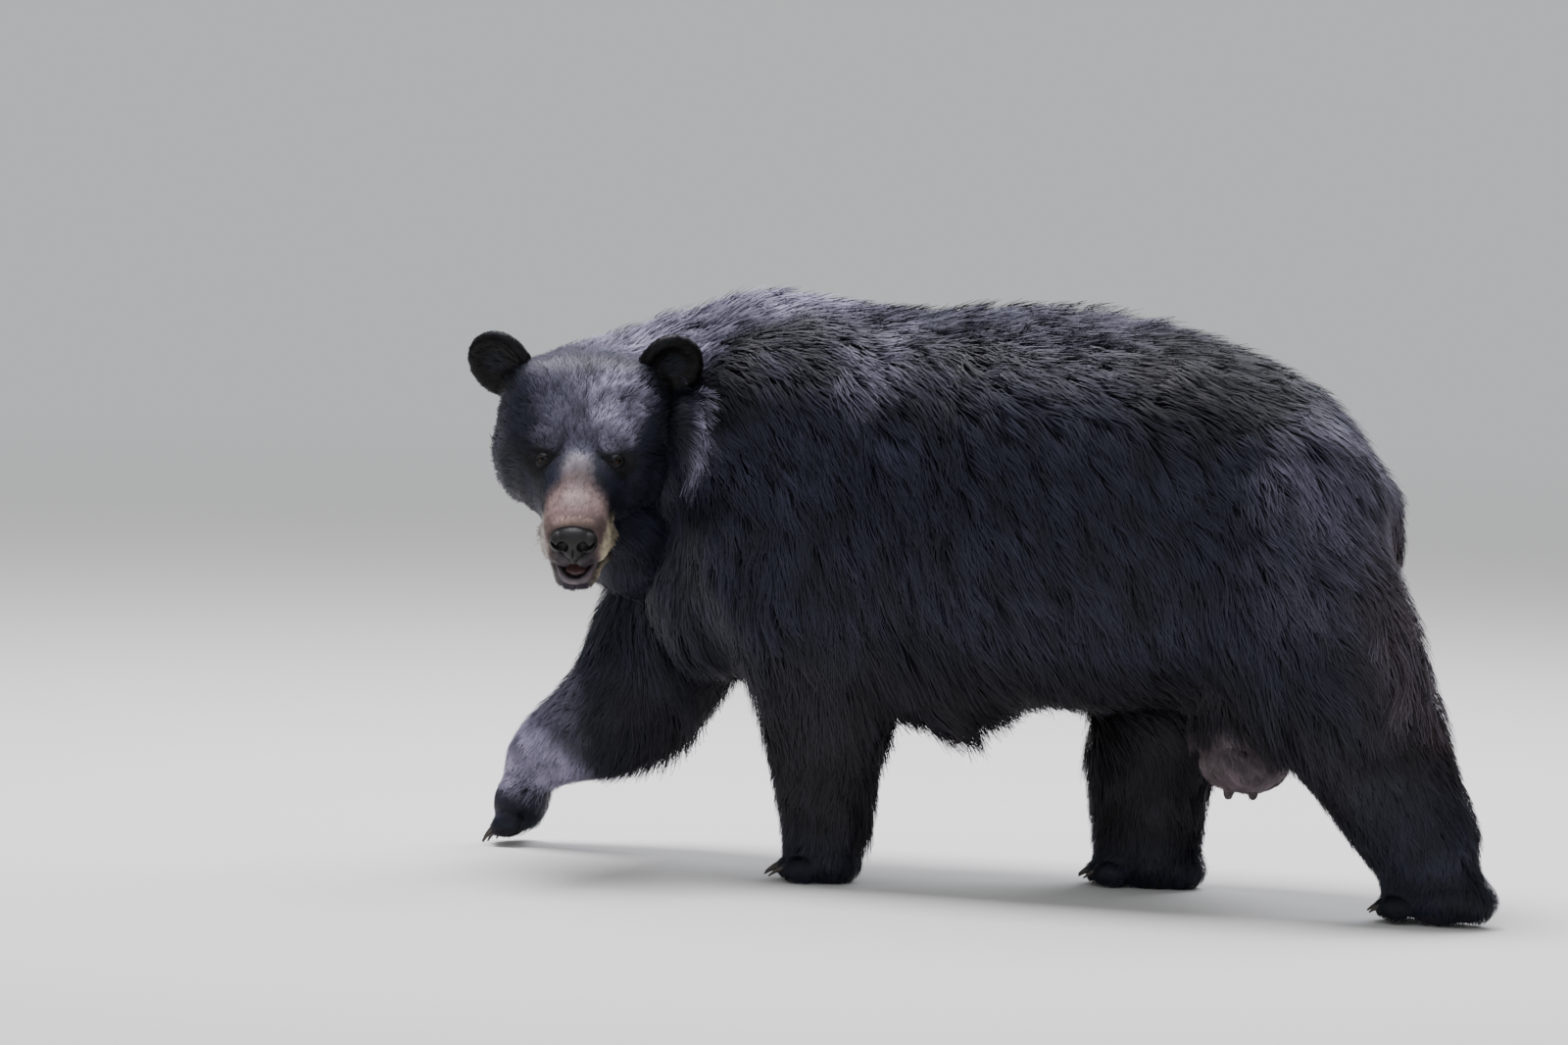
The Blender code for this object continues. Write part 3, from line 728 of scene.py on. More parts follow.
def limb_strokes() -> Iterator[Stroke]:
    """How the hair lies on each leg: down it, longer and looser behind, and forwards over the toes.

    Returns:
        The strokes.
    """
    for upper, lower, paw in LIMBS:
        centres = [box_centre(name) for name in (upper, lower, paw)]
        for i, (name, length, depth) in enumerate(((upper, 0.046, 0.026), (lower, 0.028, 0.013))):
            down = (centres[i + 1] - centres[i]).normalized()
            rear = (Y - down * down.y).normalized()
            side = down.cross(rear)
            low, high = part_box(name)
            deep, wide = 0.42 * (high.y - low.y), 0.42 * (high.x - low.x)
            reach = 0.5 * (centres[i + 1] - centres[i]).length
            for t in (-0.5, 0.3):
                middle = centres[i] + down * reach * t
                yield Stroke(middle - rear * deep, down, length, depth)
                loose = 0.2 if lower == "hindleg_left" else 0.5
                yield Stroke(middle + rear * deep, (down + 0.5 * rear).normalized(),
                             (1.2 + loose) * length, (1.0 + loose) * depth, loose)
                yield Stroke(middle + side * wide, down, length, depth)
                yield Stroke(middle - side * wide, down, length, depth)
        low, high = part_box(paw)
        shin = (centres[2] - centres[1]).normalized()
        toes = (shin + Vector((0, -1.2, 0))).normalized()
        yield Stroke(Vector((centres[2].x, centres[2].y + 0.02, high.z)), shin, 0.02, 0.008)
        yield Stroke(Vector((centres[2].x, high.y, 0.8 * high.z)), shin, 0.028, 0.009, 0.15)
        yield Stroke(Vector((centres[2].x, high.y, 0.3 * high.z)), shin, 0.016, 0.006, 0.1)
        for x in (low.x, centres[2].x, high.x):
            yield Stroke(Vector((x, low.y + 0.02, 0.35 * high.z)), toes, 0.009, 0.004)
    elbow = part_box("foreleg_right")
    for back in (0.02, -0.05):
        yield Stroke(Vector((box_centre("foreleg_right").x, elbow[1].y + back, 0.175 - back / 2)),
                     Vector((0, 0.6, -0.8)), 0.068, 0.02, 0.85)


# ---- colours on skin and coat
class Tone(Enum):
    """The colours of coat and skin."""

    BLACK = "#1d1f2a"
    BROWN_BLACK = "#201d1e"
    RUST = "#33261f"
    SILVER = "#a8a2ba"
    BROW_TAN = "#6a6163"
    MUZZLE_TAN = "#6c5a54"
    MUZZLE_BROWN = "#5f4b48"
    MUZZLE_PINK = "#ab9284"
    CREAM = "#b4a88c"
    WHITISH = "#a9a298"
    LIP = "#2a2628"
    LOWER_LIP = "#544b4f"
    MOUTH = "#2b1613"
    SOCKET = "#100f12"
    UDDER = "#75686a"
    TEAT = "#3a3033"
    PAD = "#3b3130"
    CARPAL = "#8d7672"
    EAR_INSIDE = "#0b0b0d"
    EAR_RIM = "#2e2724"

    @property
    def rgb(self) -> np.ndarray:
        """Its linear red, green and blue."""
        return np.array(linear(self.value)[:3], np.float32)


@dataclass(frozen=True)
class Marking:
    """A soft spot of colour on skin and coat alike."""

    at: Sequence[float]
    radii: tuple[float, float, float]
    tone: Tone
    strength: float = 1.0
    bare: float = 0.0  # how much of the hair is missing there
    frame: Matrix = field(default_factory=lambda: Matrix.Identity(4))

    def share(self, points: np.ndarray) -> np.ndarray:
        """How much of the marking each point takes, from 0 to 1."""
        own = into(self.frame, points) - np.array(self.at, np.float32)
        reach = np.linalg.norm(own / np.array(self.radii, np.float32), axis=1)
        return self.strength * (1 - smoothstep(0.65, 1.2, reach))


# ---- forms of the skin
@dataclass
class BodyForm:
    """Trunk, neck and legs: the frame's flesh, fused and drawn in by the depth of the coat."""

    comb: Comb
    frame: Matrix
    solids: dict[str, Part]
    bare: list[Marking]
    voxel: float = 0.009
    steps: int = 5
    inset: float = 0.84  # share of the coat's depth by which the skin lies inside the solids

    def build(self) -> Part:
        """The body's skin, without the face, which the head's own form makes.

        Returns:
            The skin, cut away where the face goes.
        """
        work = bmesh.new()
        for name in FLESH:
            if not name.startswith(("ear", "jaw")):
                work.from_mesh(self.solids[name].data)
        bmesh.ops.remove_doubles(work, verts=work.verts, dist=1e-5)
        work.normal_update()
        for vert in work.verts:
            vert.co += vert.normal * 0.0005
        made = modified(made_of("body", work), "REMESH", mode="VOXEL", voxel_size=self.voxel)
        modified(made, "SMOOTH", factor=0.5, iterations=12)
        points = places(made.data)
        depth = self.comb.read(points)["depth"]
        for spot in self.bare:
            depth = depth * (1 - 0.85 * spot.share(points))
        for _ in range(self.steps):
            inwards = normals(made.data) * (self.inset * depth / self.steps)[:, None]
            move_to(made.data, places(made.data) - inwards)
            modified(made, "SMOOTH", factor=0.5, iterations=2)
        modified(made, "REMESH", mode="VOXEL", voxel_size=self.voxel)
        modified(made, "SMOOTH", factor=0.5, iterations=3)
        face = bmesh.new()
        bmesh.ops.create_cube(face, size=1)
        size = Matrix.Diagonal((0.44, 0.29, 0.28, 1))
        face.transform(self.frame @ Matrix.Translation((0.24, -0.02, 0.04)) @ size)
        return combined(made, "DIFFERENCE", from_bmesh("face_space", face))


@dataclass
class HeadForm:
    """Skull, muzzle, jaw and ears under the short hair of the head, in the head's axes."""

    frame: Matrix
    voxel: float = 0.0026
    ear_at: Vector = field(default_factory=lambda: Vector((-0.035, 0.105, 0.082)))
    ear_radii: tuple[float, float, float] = (0.0115, 0.0415, 0.045)
    ear_splay: float = 42
    ear_turn: float = 16

    def pair(self, name: str, at: Sequence[float], radii: Sequence[float],
             turn: Sequence[float] = (0, 0, 0)) -> list[Part]:
        """A mass on the head's left and its mirror image on the right."""
        return [ellipsoid(f"{name}{sign}", (at[0], sign * at[1], at[2]), radii,
                          (sign * turn[0], turn[1], sign * turn[2]), self.frame) for sign in SIDES]

    def upper(self) -> list[Part]:
        """Skull and upper muzzle with the masses on them.

        Returns:
            The masses.
        """
        rows = (
            # forward, centre height, half width, half height
            (-0.11, 0.01, 0.055, 0.052),
            (-0.07, 0.006, 0.088, 0.084),
            (-0.02, 0.002, 0.103, 0.096),
            (0.025, -0.008, 0.096, 0.083),
            (0.06, -0.018, 0.079, 0.068),
            (0.085, -0.024, 0.0565, 0.052),
            (0.11, -0.0275, 0.0445, 0.0475),
            (0.14, -0.0345, 0.039, 0.0415),
            (0.17, -0.0395, 0.0365, 0.0365),
            (0.188, -0.0415, 0.0315, 0.03),
        )
        rings = [Ring(Vector((f, 0, u)), w, h) for f, u, w, h in rows]
        skull = loft("skull", rings, squareness=2.35, bulge=0.2, frame=self.frame, facing=X)
        hollow = ellipsoid("palate", (0.142, 0, -0.077), (0.05, 0.0255, 0.0125), frame=self.frame)
        made = [combined(skull, "DIFFERENCE", hollow)]
        made += self.pair("cheek", (-0.01, 0.066, -0.026), (0.066, 0.042, 0.06))
        made += self.pair("temple", (-0.022, 0.05, 0.052), (0.052, 0.038, 0.038))
        made.append(ellipsoid("ruff", (-0.018, 0.134, -0.02), (0.05, 0.034, 0.07), (14, 0, 0), self.frame))
        made.append(ellipsoid("ruff_low", (-0.035, 0.112, -0.06), (0.062, 0.046, 0.06), frame=self.frame))
        made += self.pair("brow", (0.052, 0.034, 0.028), (0.026, 0.026, 0.017), (0, 24, 0))
        made += self.pair("flew", (0.155, 0.0255, -0.06), (0.043, 0.016, 0.02), (0, 4, -6))
        made += self.pair("lip_front", (0.19, 0.0115, -0.0665), (0.0125, 0.0125, 0.0105))
        return made

    def lower(self) -> list[Part]:
        """Lower jaw, hollowed between the lips, and the rim of the lower lip.

        Returns:
            The masses.
        """
        rows = (
            (-0.01, -0.078, 0.056, 0.036),
            (0.06, -0.083, 0.043, 0.027),
            (0.11, -0.0965, 0.0345, 0.018),
            (0.155, -0.1045, 0.0275, 0.0135),
            (0.176, -0.107, 0.0215, 0.01),
        )
        rings = [Ring(Vector((f, 0, u)), w, h) for f, u, w, h in rows]
        jaw = loft("mandible", rings, squareness=2.3, bulge=0.55, frame=self.frame)
        hollow = ellipsoid("floor", (0.146, 0, -0.09), (0.042, 0.0195, 0.009), (0, 12, 0), frame=self.frame)
        made = [combined(jaw, "DIFFERENCE", hollow)]
        rings = []
        for t in np.linspace(-1, 1, 25):
            thick = 1 - 0.5 * abs(t) ** 3
            rings.append(Ring(self.lip_line(t), 0.004 * thick, 0.0036 * thick))
        made.append(loft("lower_lip", rings, across=Z, bulge=1.0, frame=self.frame, sides=12, steps=2))
        rows = (
            # forward, left, up, half width, half depth
            (0.06, 0.004, -0.092, 0.036, 0.022),
            (0.015, 0.022, -0.108, 0.056, 0.04),
            (-0.04, 0.046, -0.136, 0.074, 0.07),
            (-0.1, 0.066, -0.17, 0.084, 0.092),
        )
        rings = [Ring(Vector((f, left, u)), w, h) for f, left, u, w, h in rows]
        made.append(loft("throat", rings, frame=self.frame))
        return made

    @staticmethod
    def lip_line(t: float) -> Vector:
        """A point of the lower lip's rim, from its right corner at -1 to its left at 1."""
        reach = abs(t)
        forward = 0.1865 - 0.086 * reach ** 2.2
        return Vector((forward, 0.0355 * math.copysign(reach ** 0.75, t), -0.103 + 0.026 * reach ** 1.6))

    def ear_frame(self, sign: int) -> Matrix:
        """An ear's own axes: X the way it is cupped, Z from its root to its tip."""
        lean = spin_of((-sign * self.ear_splay, 0, sign * self.ear_turn))
        at = Vector((self.ear_at.x, sign * self.ear_at.y, self.ear_at.z))
        return self.frame @ Matrix.Translation(at) @ lean

    def ears(self) -> list[Part]:
        """Two round cups with a thick rim.

        Returns:
            The cups and their roots.
        """
        made = []
        deep, wide, tall = self.ear_radii
        for sign in SIDES:
            frame = self.ear_frame(sign)
            cup = ellipsoid("ear", (0, 0, 0), self.ear_radii, frame=frame, rings=32)
            hollow = ellipsoid("hollow", (0.85 * deep, 0, 0), (0.95 * deep, 0.8 * wide, 0.8 * tall),
                               frame=frame, rings=32)
            root = ellipsoid("root", (-0.003, 0, -0.78 * tall), (0.018, 0.7 * wide, 0.52 * tall), frame=frame)
            made += [combined(cup, "DIFFERENCE", hollow), root]
        return made

    def build(self) -> Part:
        """The head's skin before the eyes are opened."""
        return fused("head_form", self.upper() + self.lower() + self.ears(), self.voxel, 5)


@dataclass(frozen=True)
class Paw:
    """One paw of the frame: where it stands in its box, how it is turned, and its sizes."""

    node: str
    lead: tuple[float, float, float]  # from the box's centre on the floor to the paw's middle
    heading: float
    pitch: float
    bend: float
    length: float
    width: float
    claw: float
    toe_joint: Vector = field(default_factory=lambda: Vector((0.02, 0, 0.017)))
    toe_radii: Vector = field(default_factory=lambda: Vector((0.0235, 0.0108, 0.0165)))
    toes: int = 5

    def axes(self) -> Matrix:
        """The paw's own axes: forward to the toes, left, and up from the sole.

        Returns:
            The matrix to the model's axes.
        """
        centre = box_centre(self.node)
        at = Vector((centre.x, centre.y, 0)) + Vector(self.lead)
        turn = (Matrix.Rotation(math.radians(self.heading), 4, "Z")
                @ Matrix.Rotation(math.radians(self.pitch), 4, "X"))
        return Matrix.Translation(at) @ turn @ Matrix(((0, 1, 0), (-1, 0, 0), (0, 0, 1))).to_4x4()

    def toe_axes(self) -> Iterator[tuple[Matrix, float]]:
        """Each toe's own axes and its scale, from right to left.

        Returns:
            The toe's matrix and its scale.
        """
        hinge = Matrix.Translation(self.toe_joint) @ Matrix.Rotation(-math.radians(self.bend), 4, "Y")
        for k in range(self.toes):
            spread = 2 * k / (self.toes - 1) - 1
            reach = 0.37 * self.length - self.toe_joint.x - 0.012 * spread ** 2
            place = Matrix.Translation((reach, spread * 0.39 * self.width, 0))
            splay = Matrix.Rotation(math.radians(9 * spread), 4, "Z")
            yield self.axes() @ hinge @ place @ splay, 1 - 0.12 * abs(spread)

    def masses(self) -> list[Part]:
        """Pads, instep and toes under the hair.

        Returns:
            The masses.
        """
        half, width, axes = self.length / 2, self.width, self.axes()
        made = [ellipsoid("palm", (-0.08 * half, 0, 0.027), (0.7 * half, 0.42 * width, 0.031), frame=axes)]
        if self.length > 1.5 * width:
            made.append(ellipsoid("heel", (-0.54 * half, 0, 0.024), (0.42 * half, 0.33 * width, 0.026),
                                  frame=axes))
        for toe, scale in self.toe_axes():
            made.append(ellipsoid("toe", (0, 0, 0), self.toe_radii * scale, frame=toe))
        return made

    def claws(self) -> Part:
        """Five curved, tapering claws with a flattened section, in one mesh.

        Returns:
            The claws.
        """
        made = []
        for toe, scale in self.toe_axes():
            rings = []
            for i in range(7):
                t = i / 6
                centre = X * (0.01 + (self.claw + 0.0015) * t) + Z * (0.004 - 0.45 * self.claw * t * t)
                thick = 0.0054 * scale * (1 - 0.8 * t ** 1.3)
                rings.append(Ring(centre, 0.6 * thick, thick))
            made.append(loft("claw", rings, bulge=0.5, frame=toe, sides=12, steps=1))
        work = bmesh.new()
        for piece in made:
            work.from_mesh(piece.data)
            bpy.data.objects.remove(piece)
        bmesh.ops.bisect_plane(work, geom=[*work.verts, *work.edges, *work.faces], dist=1e-6,
                               plane_co=(0, 0, 0.0002), plane_no=(0, 0, -1), clear_outer=True)
        bmesh.ops.holes_fill(work, edges=[e for e in work.edges if e.is_boundary])
        return from_bmesh(f"claws_{self.node}", work)


FORE = dict(length=0.102, width=0.098, claw=0.028)
HIND = dict(length=0.146, width=0.09, claw=0.022)
PAWS = (
    Paw("forepaw_left", (-0.0031, 0.0103, 0), 6, 0, 0, **FORE),
    Paw("forepaw_right", (0.003, 0.0037, 0.046), -4, 74, 50, **FORE),
    Paw("hindpaw_left", (-0.0019, 0.012, 0.004), -6, 4, 4, **HIND),
    Paw("hindpaw_right", (-0.0008, 0.0063, 0), 6, 0, 0, **HIND),
)


@dataclass(frozen=True)
class Teats:
    """The sow's teats: one in front, two behind, each a blunt cone on its mamma."""

    across: tuple[float, ...] = (0.056, 0.052, 0.05)
    along: tuple[float, ...] = (-0.016, 0.334, 0.365)
    radius: float = 0.0066
    length: float = 0.044

    def tips(self) -> Iterator[Vector]:
        """The lowest point of each teat."""
        middle, front, rear = box_centre("belly").x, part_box("chest")[0].z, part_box("rump")[0].z
        for x, y, z in zip(self.across, self.along, (front + 0.002, rear - 0.011, rear - 0.01)):
            yield Vector((middle + x, y, z))

    def masses(self) -> list[Part]:
        """The teats, reaching up into the mammae.

        Returns:
            The masses.
        """
        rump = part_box("rump")[0].z
        made = [ellipsoid("udder", (box_centre("belly").x + 0.04, 0.35, rump + 0.034), (0.05, 0.056, 0.036))]
        for tip in self.tips():
            rows = ((0.0, 0.75), (0.004, 0.98), (0.01, 1.0), (0.02, 1.15), (0.03, 1.7), (self.length, 2.4))
            rings = [Ring(tip + Z * (0.003 + rise), *[self.radius * wide] * 2) for rise, wide in rows]
            made.append(loft("teat", rings, across=X, bulge=0.6, sides=20, steps=3))
        return made


# ---- the skin
@dataclass
class Hide:
    """The one skin, with all that the coat needs stored on it."""

    frame: Matrix
    comb: Comb
    head: HeadForm
    solids: dict[str, Part]
    eye_radius: float = 0.0105
    socket: Vector = field(default_factory=lambda: Vector((0.84, 0.47, 0.27)).normalized())
    opening: tuple[float, float] = (0.0083, 0.0041)  # half the lids' opening, across and up
    sunk: float = 0.0035  # how far each eye sits deeper than its solid
    paw_voxel: float = 0.0036
    teat_voxel: float = 0.002
    tail_voxel: float = 0.004

    def build(self) -> Part:
        """Fuses the forms, opens the eyes and stores the coat's numbers and the colours.

        Returns:
            The skin.
        """
        skin = BodyForm(self.comb, self.frame, self.solids, [self.udder()]).build()
        skin.name = "skin"
        combined(skin, "UNION", self.head.build())
        paws = [mass for paw in PAWS for mass in paw.masses()]
        combined(skin, "UNION", fused("paws", paws, self.paw_voxel, 4))
        combined(skin, "UNION", fused("teats", Teats().masses(), self.teat_voxel, 2))
        dock = box_centre("tail") + Vector((0, -0.006, -0.01))
        stub = ellipsoid("stub", dock, (0.019, 0.019, 0.06), (17, 0, 0))
        combined(skin, "UNION", fused("tail_stub", [stub], self.tail_voxel, 1))
        self.lower_nape(skin)
        self.blend_joins(skin)
        self.stand(skin)
        self.mend(skin)
        self.open_eyes(skin)
        modified(skin, "TRIANGULATE")
        skin.data.validate()
        skin.data.shade_smooth()
        skin.data.materials.clear()
        self.store_fields(skin)
        return skin

    def udder(self) -> Marking:
        """The nearly bare udder between the thighs."""
        at = Vector((box_centre("belly").x + 0.02, 0.345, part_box("rump")[0].z + 0.038))
        return Marking(at, (0.09, 0.09, 0.062), Tone.UDDER, 0.95, 0.85)

    def lower_nape(self, skin: Part) -> None:
        """Draws the crown in between the ears, so that it runs flat into the neck.

        Args:
            skin: what changes.
        """
        points = places(skin.data)
        own = into(self.frame, points)
        weight = (np.exp(-((own[:, 0] + 0.09) / 0.055) ** 2) * smoothstep(0.02, 0.08, own[:, 2])
                  * (1 - smoothstep(0.055, 0.1, np.abs(own[:, 1]))))
        down = np.array(self.frame.to_3x3() @ Z)
        move_to(skin.data, points - down * (0.024 * weight)[:, None])

    def blend_joins(self, skin: Part) -> None:
        """Smooths the surface where head and paws run into the body.

        Args:
            skin: what changes.
        """
        points = places(skin.data)
        own = into(self.frame, points)
        weight = (1 - smoothstep(0.025, 0.06, np.abs(own[:, 0] + 0.085))) * (np.abs(own[:, 1]) < 0.2)
        for upper, lower, paw in LIMBS:
            low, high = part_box(paw)
            inside = np.all((points > np.array(low) - 0.02) & (points < np.array(high) + 0.02), axis=1)
            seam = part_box(lower)[0] if paw != "forepaw_right" else high
            at_ankle = 1 - smoothstep(0.01, 0.03, np.abs(points[:, 2] - seam.z))
            weight = np.maximum(weight, at_ankle * inside * 0.8)
        group = skin.vertex_groups.new(name="joins")
        for level in range(1, 11):
            chosen = np.nonzero(np.round(weight * 10) == level)[0].tolist()
            if chosen:
                group.add(chosen, level / 10, "REPLACE")
        modified(skin, "SMOOTH", factor=0.5, iterations=45, vertex_group="joins")
        skin.vertex_groups.clear()

    @staticmethod
    def mend(skin: Part) -> None:
        """Drops slivers and crumbs that the joins leave, and closes the skin again.

        Args:
            skin: what changes.
        """
        work = bmesh.new()
        work.from_mesh(skin.data)
        bmesh.ops.dissolve_degenerate(work, dist=3e-5, edges=work.edges)
        reached, open_ends = set(), [max(work.verts, key=lambda v: v.co.z)]
        while open_ends:
            vert = open_ends.pop()
            if vert not in reached:
                reached.add(vert)
                open_ends += [edge.other_vert(vert) for edge in vert.link_edges]
        bmesh.ops.delete(work, geom=[v for v in work.verts if v not in reached], context="VERTS")
        bmesh.ops.triangulate(work, faces=work.faces)
        for _ in range(4):
            faulty = {v for e in work.edges if len(e.link_faces) != 2 for v in e.verts}
            bmesh.ops.delete(work, geom=list(faulty), context="VERTS")
            rims = [e for e in work.edges if len(e.link_faces) == 1]
            bmesh.ops.holes_fill(work, edges=rims, sides=0)
            bmesh.ops.triangulate(work, faces=work.faces)
        loose = [v for v in work.verts if not v.link_faces]
        bmesh.ops.delete(work, geom=loose, context="VERTS")
        bmesh.ops.recalc_face_normals(work, faces=work.faces)
        work.to_mesh(skin.data)
        work.free()

    @staticmethod
    def stand(skin: Part) -> None:
        """Flattens what would reach below the floor."""
        points = places(skin.data)
        points[:, 2] = np.maximum(points[:, 2], FLOOR_GAP)
        move_to(skin.data, points)

    def eye_axes(self, sign: int) -> Matrix:
        """An eye's own axes: X out of its socket, Y towards the outer corner, Z up.

        Args:
            sign: 1 for the left eye, -1 for the right.

        Returns:
            The matrix to the model's axes.
        """
        ahead = Vector((self.socket.x, sign * self.socket.y, self.socket.z))
        outer = Vector((-abs(ahead.y), sign * ahead.x, -0.12))
        outer = (outer - ahead * outer.dot(ahead)).normalized()
        up = ahead.cross(outer) * sign
        turn = Matrix((ahead, outer, up)).transposed().to_4x4()
        at = Vector((EYE_AT.x, sign * EYE_AT.y, EYE_AT.z)) - ahead * self.sunk
        return self.frame @ Matrix.Translation(at) @ turn

    def open_eyes(self, skin: Part) -> None:
        """Refines the skin round each eye and shapes the lids on a sphere over the eyeball.

        Args:
            skin: what changes.
        """
        work = bmesh.new()
        work.from_mesh(skin.data)
        for sign in SIDES:
            axes = self.eye_axes(sign)
            centre = axes.translation + axes.to_3x3() @ X * 0.008
            for reach in (0.021, 0.017):
                edges = [e for e in work.edges if all((v.co - centre).length < reach for v in e.verts)]
                bmesh.ops.subdivide_edges(work, edges=edges, cuts=1, use_grid_fill=True)
                bmesh.ops.triangulate(work, faces=[f for f in work.faces if len(f.verts) > 4])
        work.to_mesh(skin.data)
        work.free()
        points = places(skin.data)
        for sign in SIDES:
            axes = self.eye_axes(sign)
            own = into(axes, points)
            near = (np.linalg.norm(own - np.array((0.006, 0, 0)), axis=1) < 0.024) & (own[:, 0] > -0.004)
            local = own[near]
            away = np.linalg.norm(local, axis=1)
            way = local / away[:, None]
            outside = self.beyond_lids(way)
            lid = self.eye_radius + 0.0011 + 0.0009 * smoothstep(0.0002, 0.0016, outside)
            lid -= 0.0012 * np.exp(-((outside - 0.0044) / 0.0009) ** 2) * (way[:, 2] > 0)
            radius = np.where(outside < -0.0002, self.eye_radius - 0.0035, lid)
            hold = 1 - smoothstep(0.0018, 0.008, outside)
            local = local + way * ((radius - away) * hold)[:, None]
            back = np.array(axes, np.float32)
            points[near] = local @ back[:3, :3].T + back[:3, 3]
        move_to(skin.data, points)

    def beyond_lids(self, way: np.ndarray) -> np.ndarray:
        """How far along the eyeball each direction lies outside the lids' opening; below 0 it is inside.

        Args:
            way: directions in the eye's axes, one row each.

        Returns:
            The distances.
        """
        spread = np.hypot(way[:, 1], way[:, 2])
        arc = self.eye_radius * np.arctan2(spread, way[:, 0])
        y, z = arc * way[:, 1] / np.maximum(spread, 1e-6), arc * way[:, 2] / np.maximum(spread, 1e-6)
        half, tall = self.opening
        arch = np.clip(1 - (y / half) ** 2, 0, 1)
        upper, lower = tall * arch ** 0.75, -0.72 * tall * arch ** 0.85
        outside = np.maximum(z - upper, lower - z)
        beside = np.hypot(np.abs(y) - half, z)
        return np.where(np.abs(y) > half, beside, outside)

    def spots(self, rows: Iterable[tuple], mirrored: bool = True) -> list[Marking]:
        """Markings given in the head's axes.

        Args:
            rows: place, radii, tone, strength and perhaps bareness of each.
            mirrored: whether those off the middle come on both sides.

        Returns:
            The markings, in the order of the rows.
        """
        return [Marking((at[0], sign * at[1], at[2]), radii, tone, *numbers, frame=self.frame)
                for at, radii, tone, *numbers in rows
                for sign in (SIDES if mirrored and at[1] else (1,))]

    def markings(self) -> list[Marking]:
        """Every marking.

        Returns:
            The markings, from the widest to the smallest, as they are laid on each other.
        """
        middle, top = box_centre("belly").x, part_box("neck")[1].z
        wrist, paw_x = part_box("forepaw_right")[1], box_centre("forepaw_right").x
        found = [
            Marking((middle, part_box("rump")[1].y, 0.42), (0.3, 0.16, 0.24), Tone.RUST, 0.75),
            Marking((middle, 0.05, 0.2), (0.4, 0.6, 0.16), Tone.BROWN_BLACK, 0.8),
            Marking((middle, 0.05, 0.74), (0.1, 0.1, 0.05), Tone.RUST, 0.55),
            # A faint painted sheen on the top of the neck.
            Marking((middle + 0.02, -0.36, top), (0.18, 0.16, 0.05), Tone.SILVER, 0.1),
            # Painted shade where the coat parts and below the ears.
            *self.painted_shade_spots(),
            self.udder(),
            Marking((middle + 0.03, -0.02, 0.19), (0.08, 0.06, 0.022), Tone.UDDER, 0.45, 0.35),
        ]
        found += self.spots((
            ((0.172, 0, -0.03), (0.044, 0.06, 0.062), Tone.MUZZLE_TAN, 0.9),
            ((0.118, 0, 0.01), (0.025, 0.02, 0.022), Tone.BROW_TAN, 0.75),
            ((0.148, 0, 0), (0.034, 0.023, 0.024), Tone.MUZZLE_TAN, 0.8),
            ((0.136, 0, 0.004), (0.012, 0.019, 0.014), Tone.MUZZLE_BROWN, 0.4),
            ((0.158, 0, -0.001), (0.008, 0.016, 0.012), Tone.MUZZLE_PINK, 0.22),
            ((0.181, 0, -0.01), (0.0095, 0.028, 0.014), Tone.MUZZLE_BROWN, 0.85),
            ((0.192, 0, -0.02), (0.006, 0.026, 0.008), Tone.MUZZLE_PINK, 0.5),
        ))
        for sign, tone in ((1, Tone.CREAM), (-1, Tone.WHITISH)):
            found += self.spots((
                ((0.156, sign * 0.04, -0.058), (0.04, 0.016, 0.026), tone, 0.95),
                ((0.172, sign * 0.033, -0.057), (0.022, 0.012, 0.022), tone, 0.75),
                ((0.128, sign * 0.048, -0.07), (0.024, 0.018, 0.02), tone, 0.95),
                ((0.145, sign * 0.026, -0.107), (0.04, 0.018, 0.015), tone, 0.6),
            ), mirrored=False)
        found += self.spots((
            # Painted shade in the eye sockets under the brows.
            ((0.082, 0.046, 0.006), (0.028, 0.024, 0.02), Tone.SOCKET, 1),
            ((0.197, 0, -0.056), (0.016, 0.028, 0.02), Tone.LIP, 1, 1),
            ((0.2, 0, -0.04), (0.014, 0.03, 0.024), Tone.LIP, 1, 1),
            ((0.188, 0.012, -0.07), (0.02, 0.016, 0.012), Tone.LIP, 0.9, 0.3),
        ))
        for t in np.linspace(-1, 1, 41):
            at = HeadForm.lip_line(float(t))
            above = at + Vector((0.003, 0, 0.02 * (1 - abs(t)) + 0.006))
            found += self.spots((
                (at, (0.0062, 0.0062, 0.006), Tone.LIP, 1, 1),
                (at, (0.0062, 0.0062, 0.006), Tone.LOWER_LIP, 1 - 0.8 * abs(t) ** 3),
                (above, (0.01, 0.008, 0.0055), Tone.LIP, 1, 1),
            ), mirrored=False)
        found += self.spots([((0.13, 0, -0.083), (0.056, 0.026, 0.0155), Tone.MOUTH, 1, 1)])
        for tip in Teats().tips():
            found.append(Marking(tip + Z * 0.01, (0.019, 0.019, 0.026), Tone.UDDER, 0.9, 1))
            found.append(Marking(tip + Z * 0.004, (0.014, 0.014, 0.012), Tone.TEAT, 0.9, 1))
        return found + [
            Marking((paw_x, wrist.y - 0.012, wrist.z + 0.012), (0.03, 0.022, 0.018), Tone.CARPAL, 0.8, 0.7),
            # Painted sunlight on the top of the raised wrist.
            Marking((paw_x + 0.02, wrist.y - 0.06, wrist.z + 0.01), (0.06, 0.055, 0.05), Tone.SILVER, 0.22)]

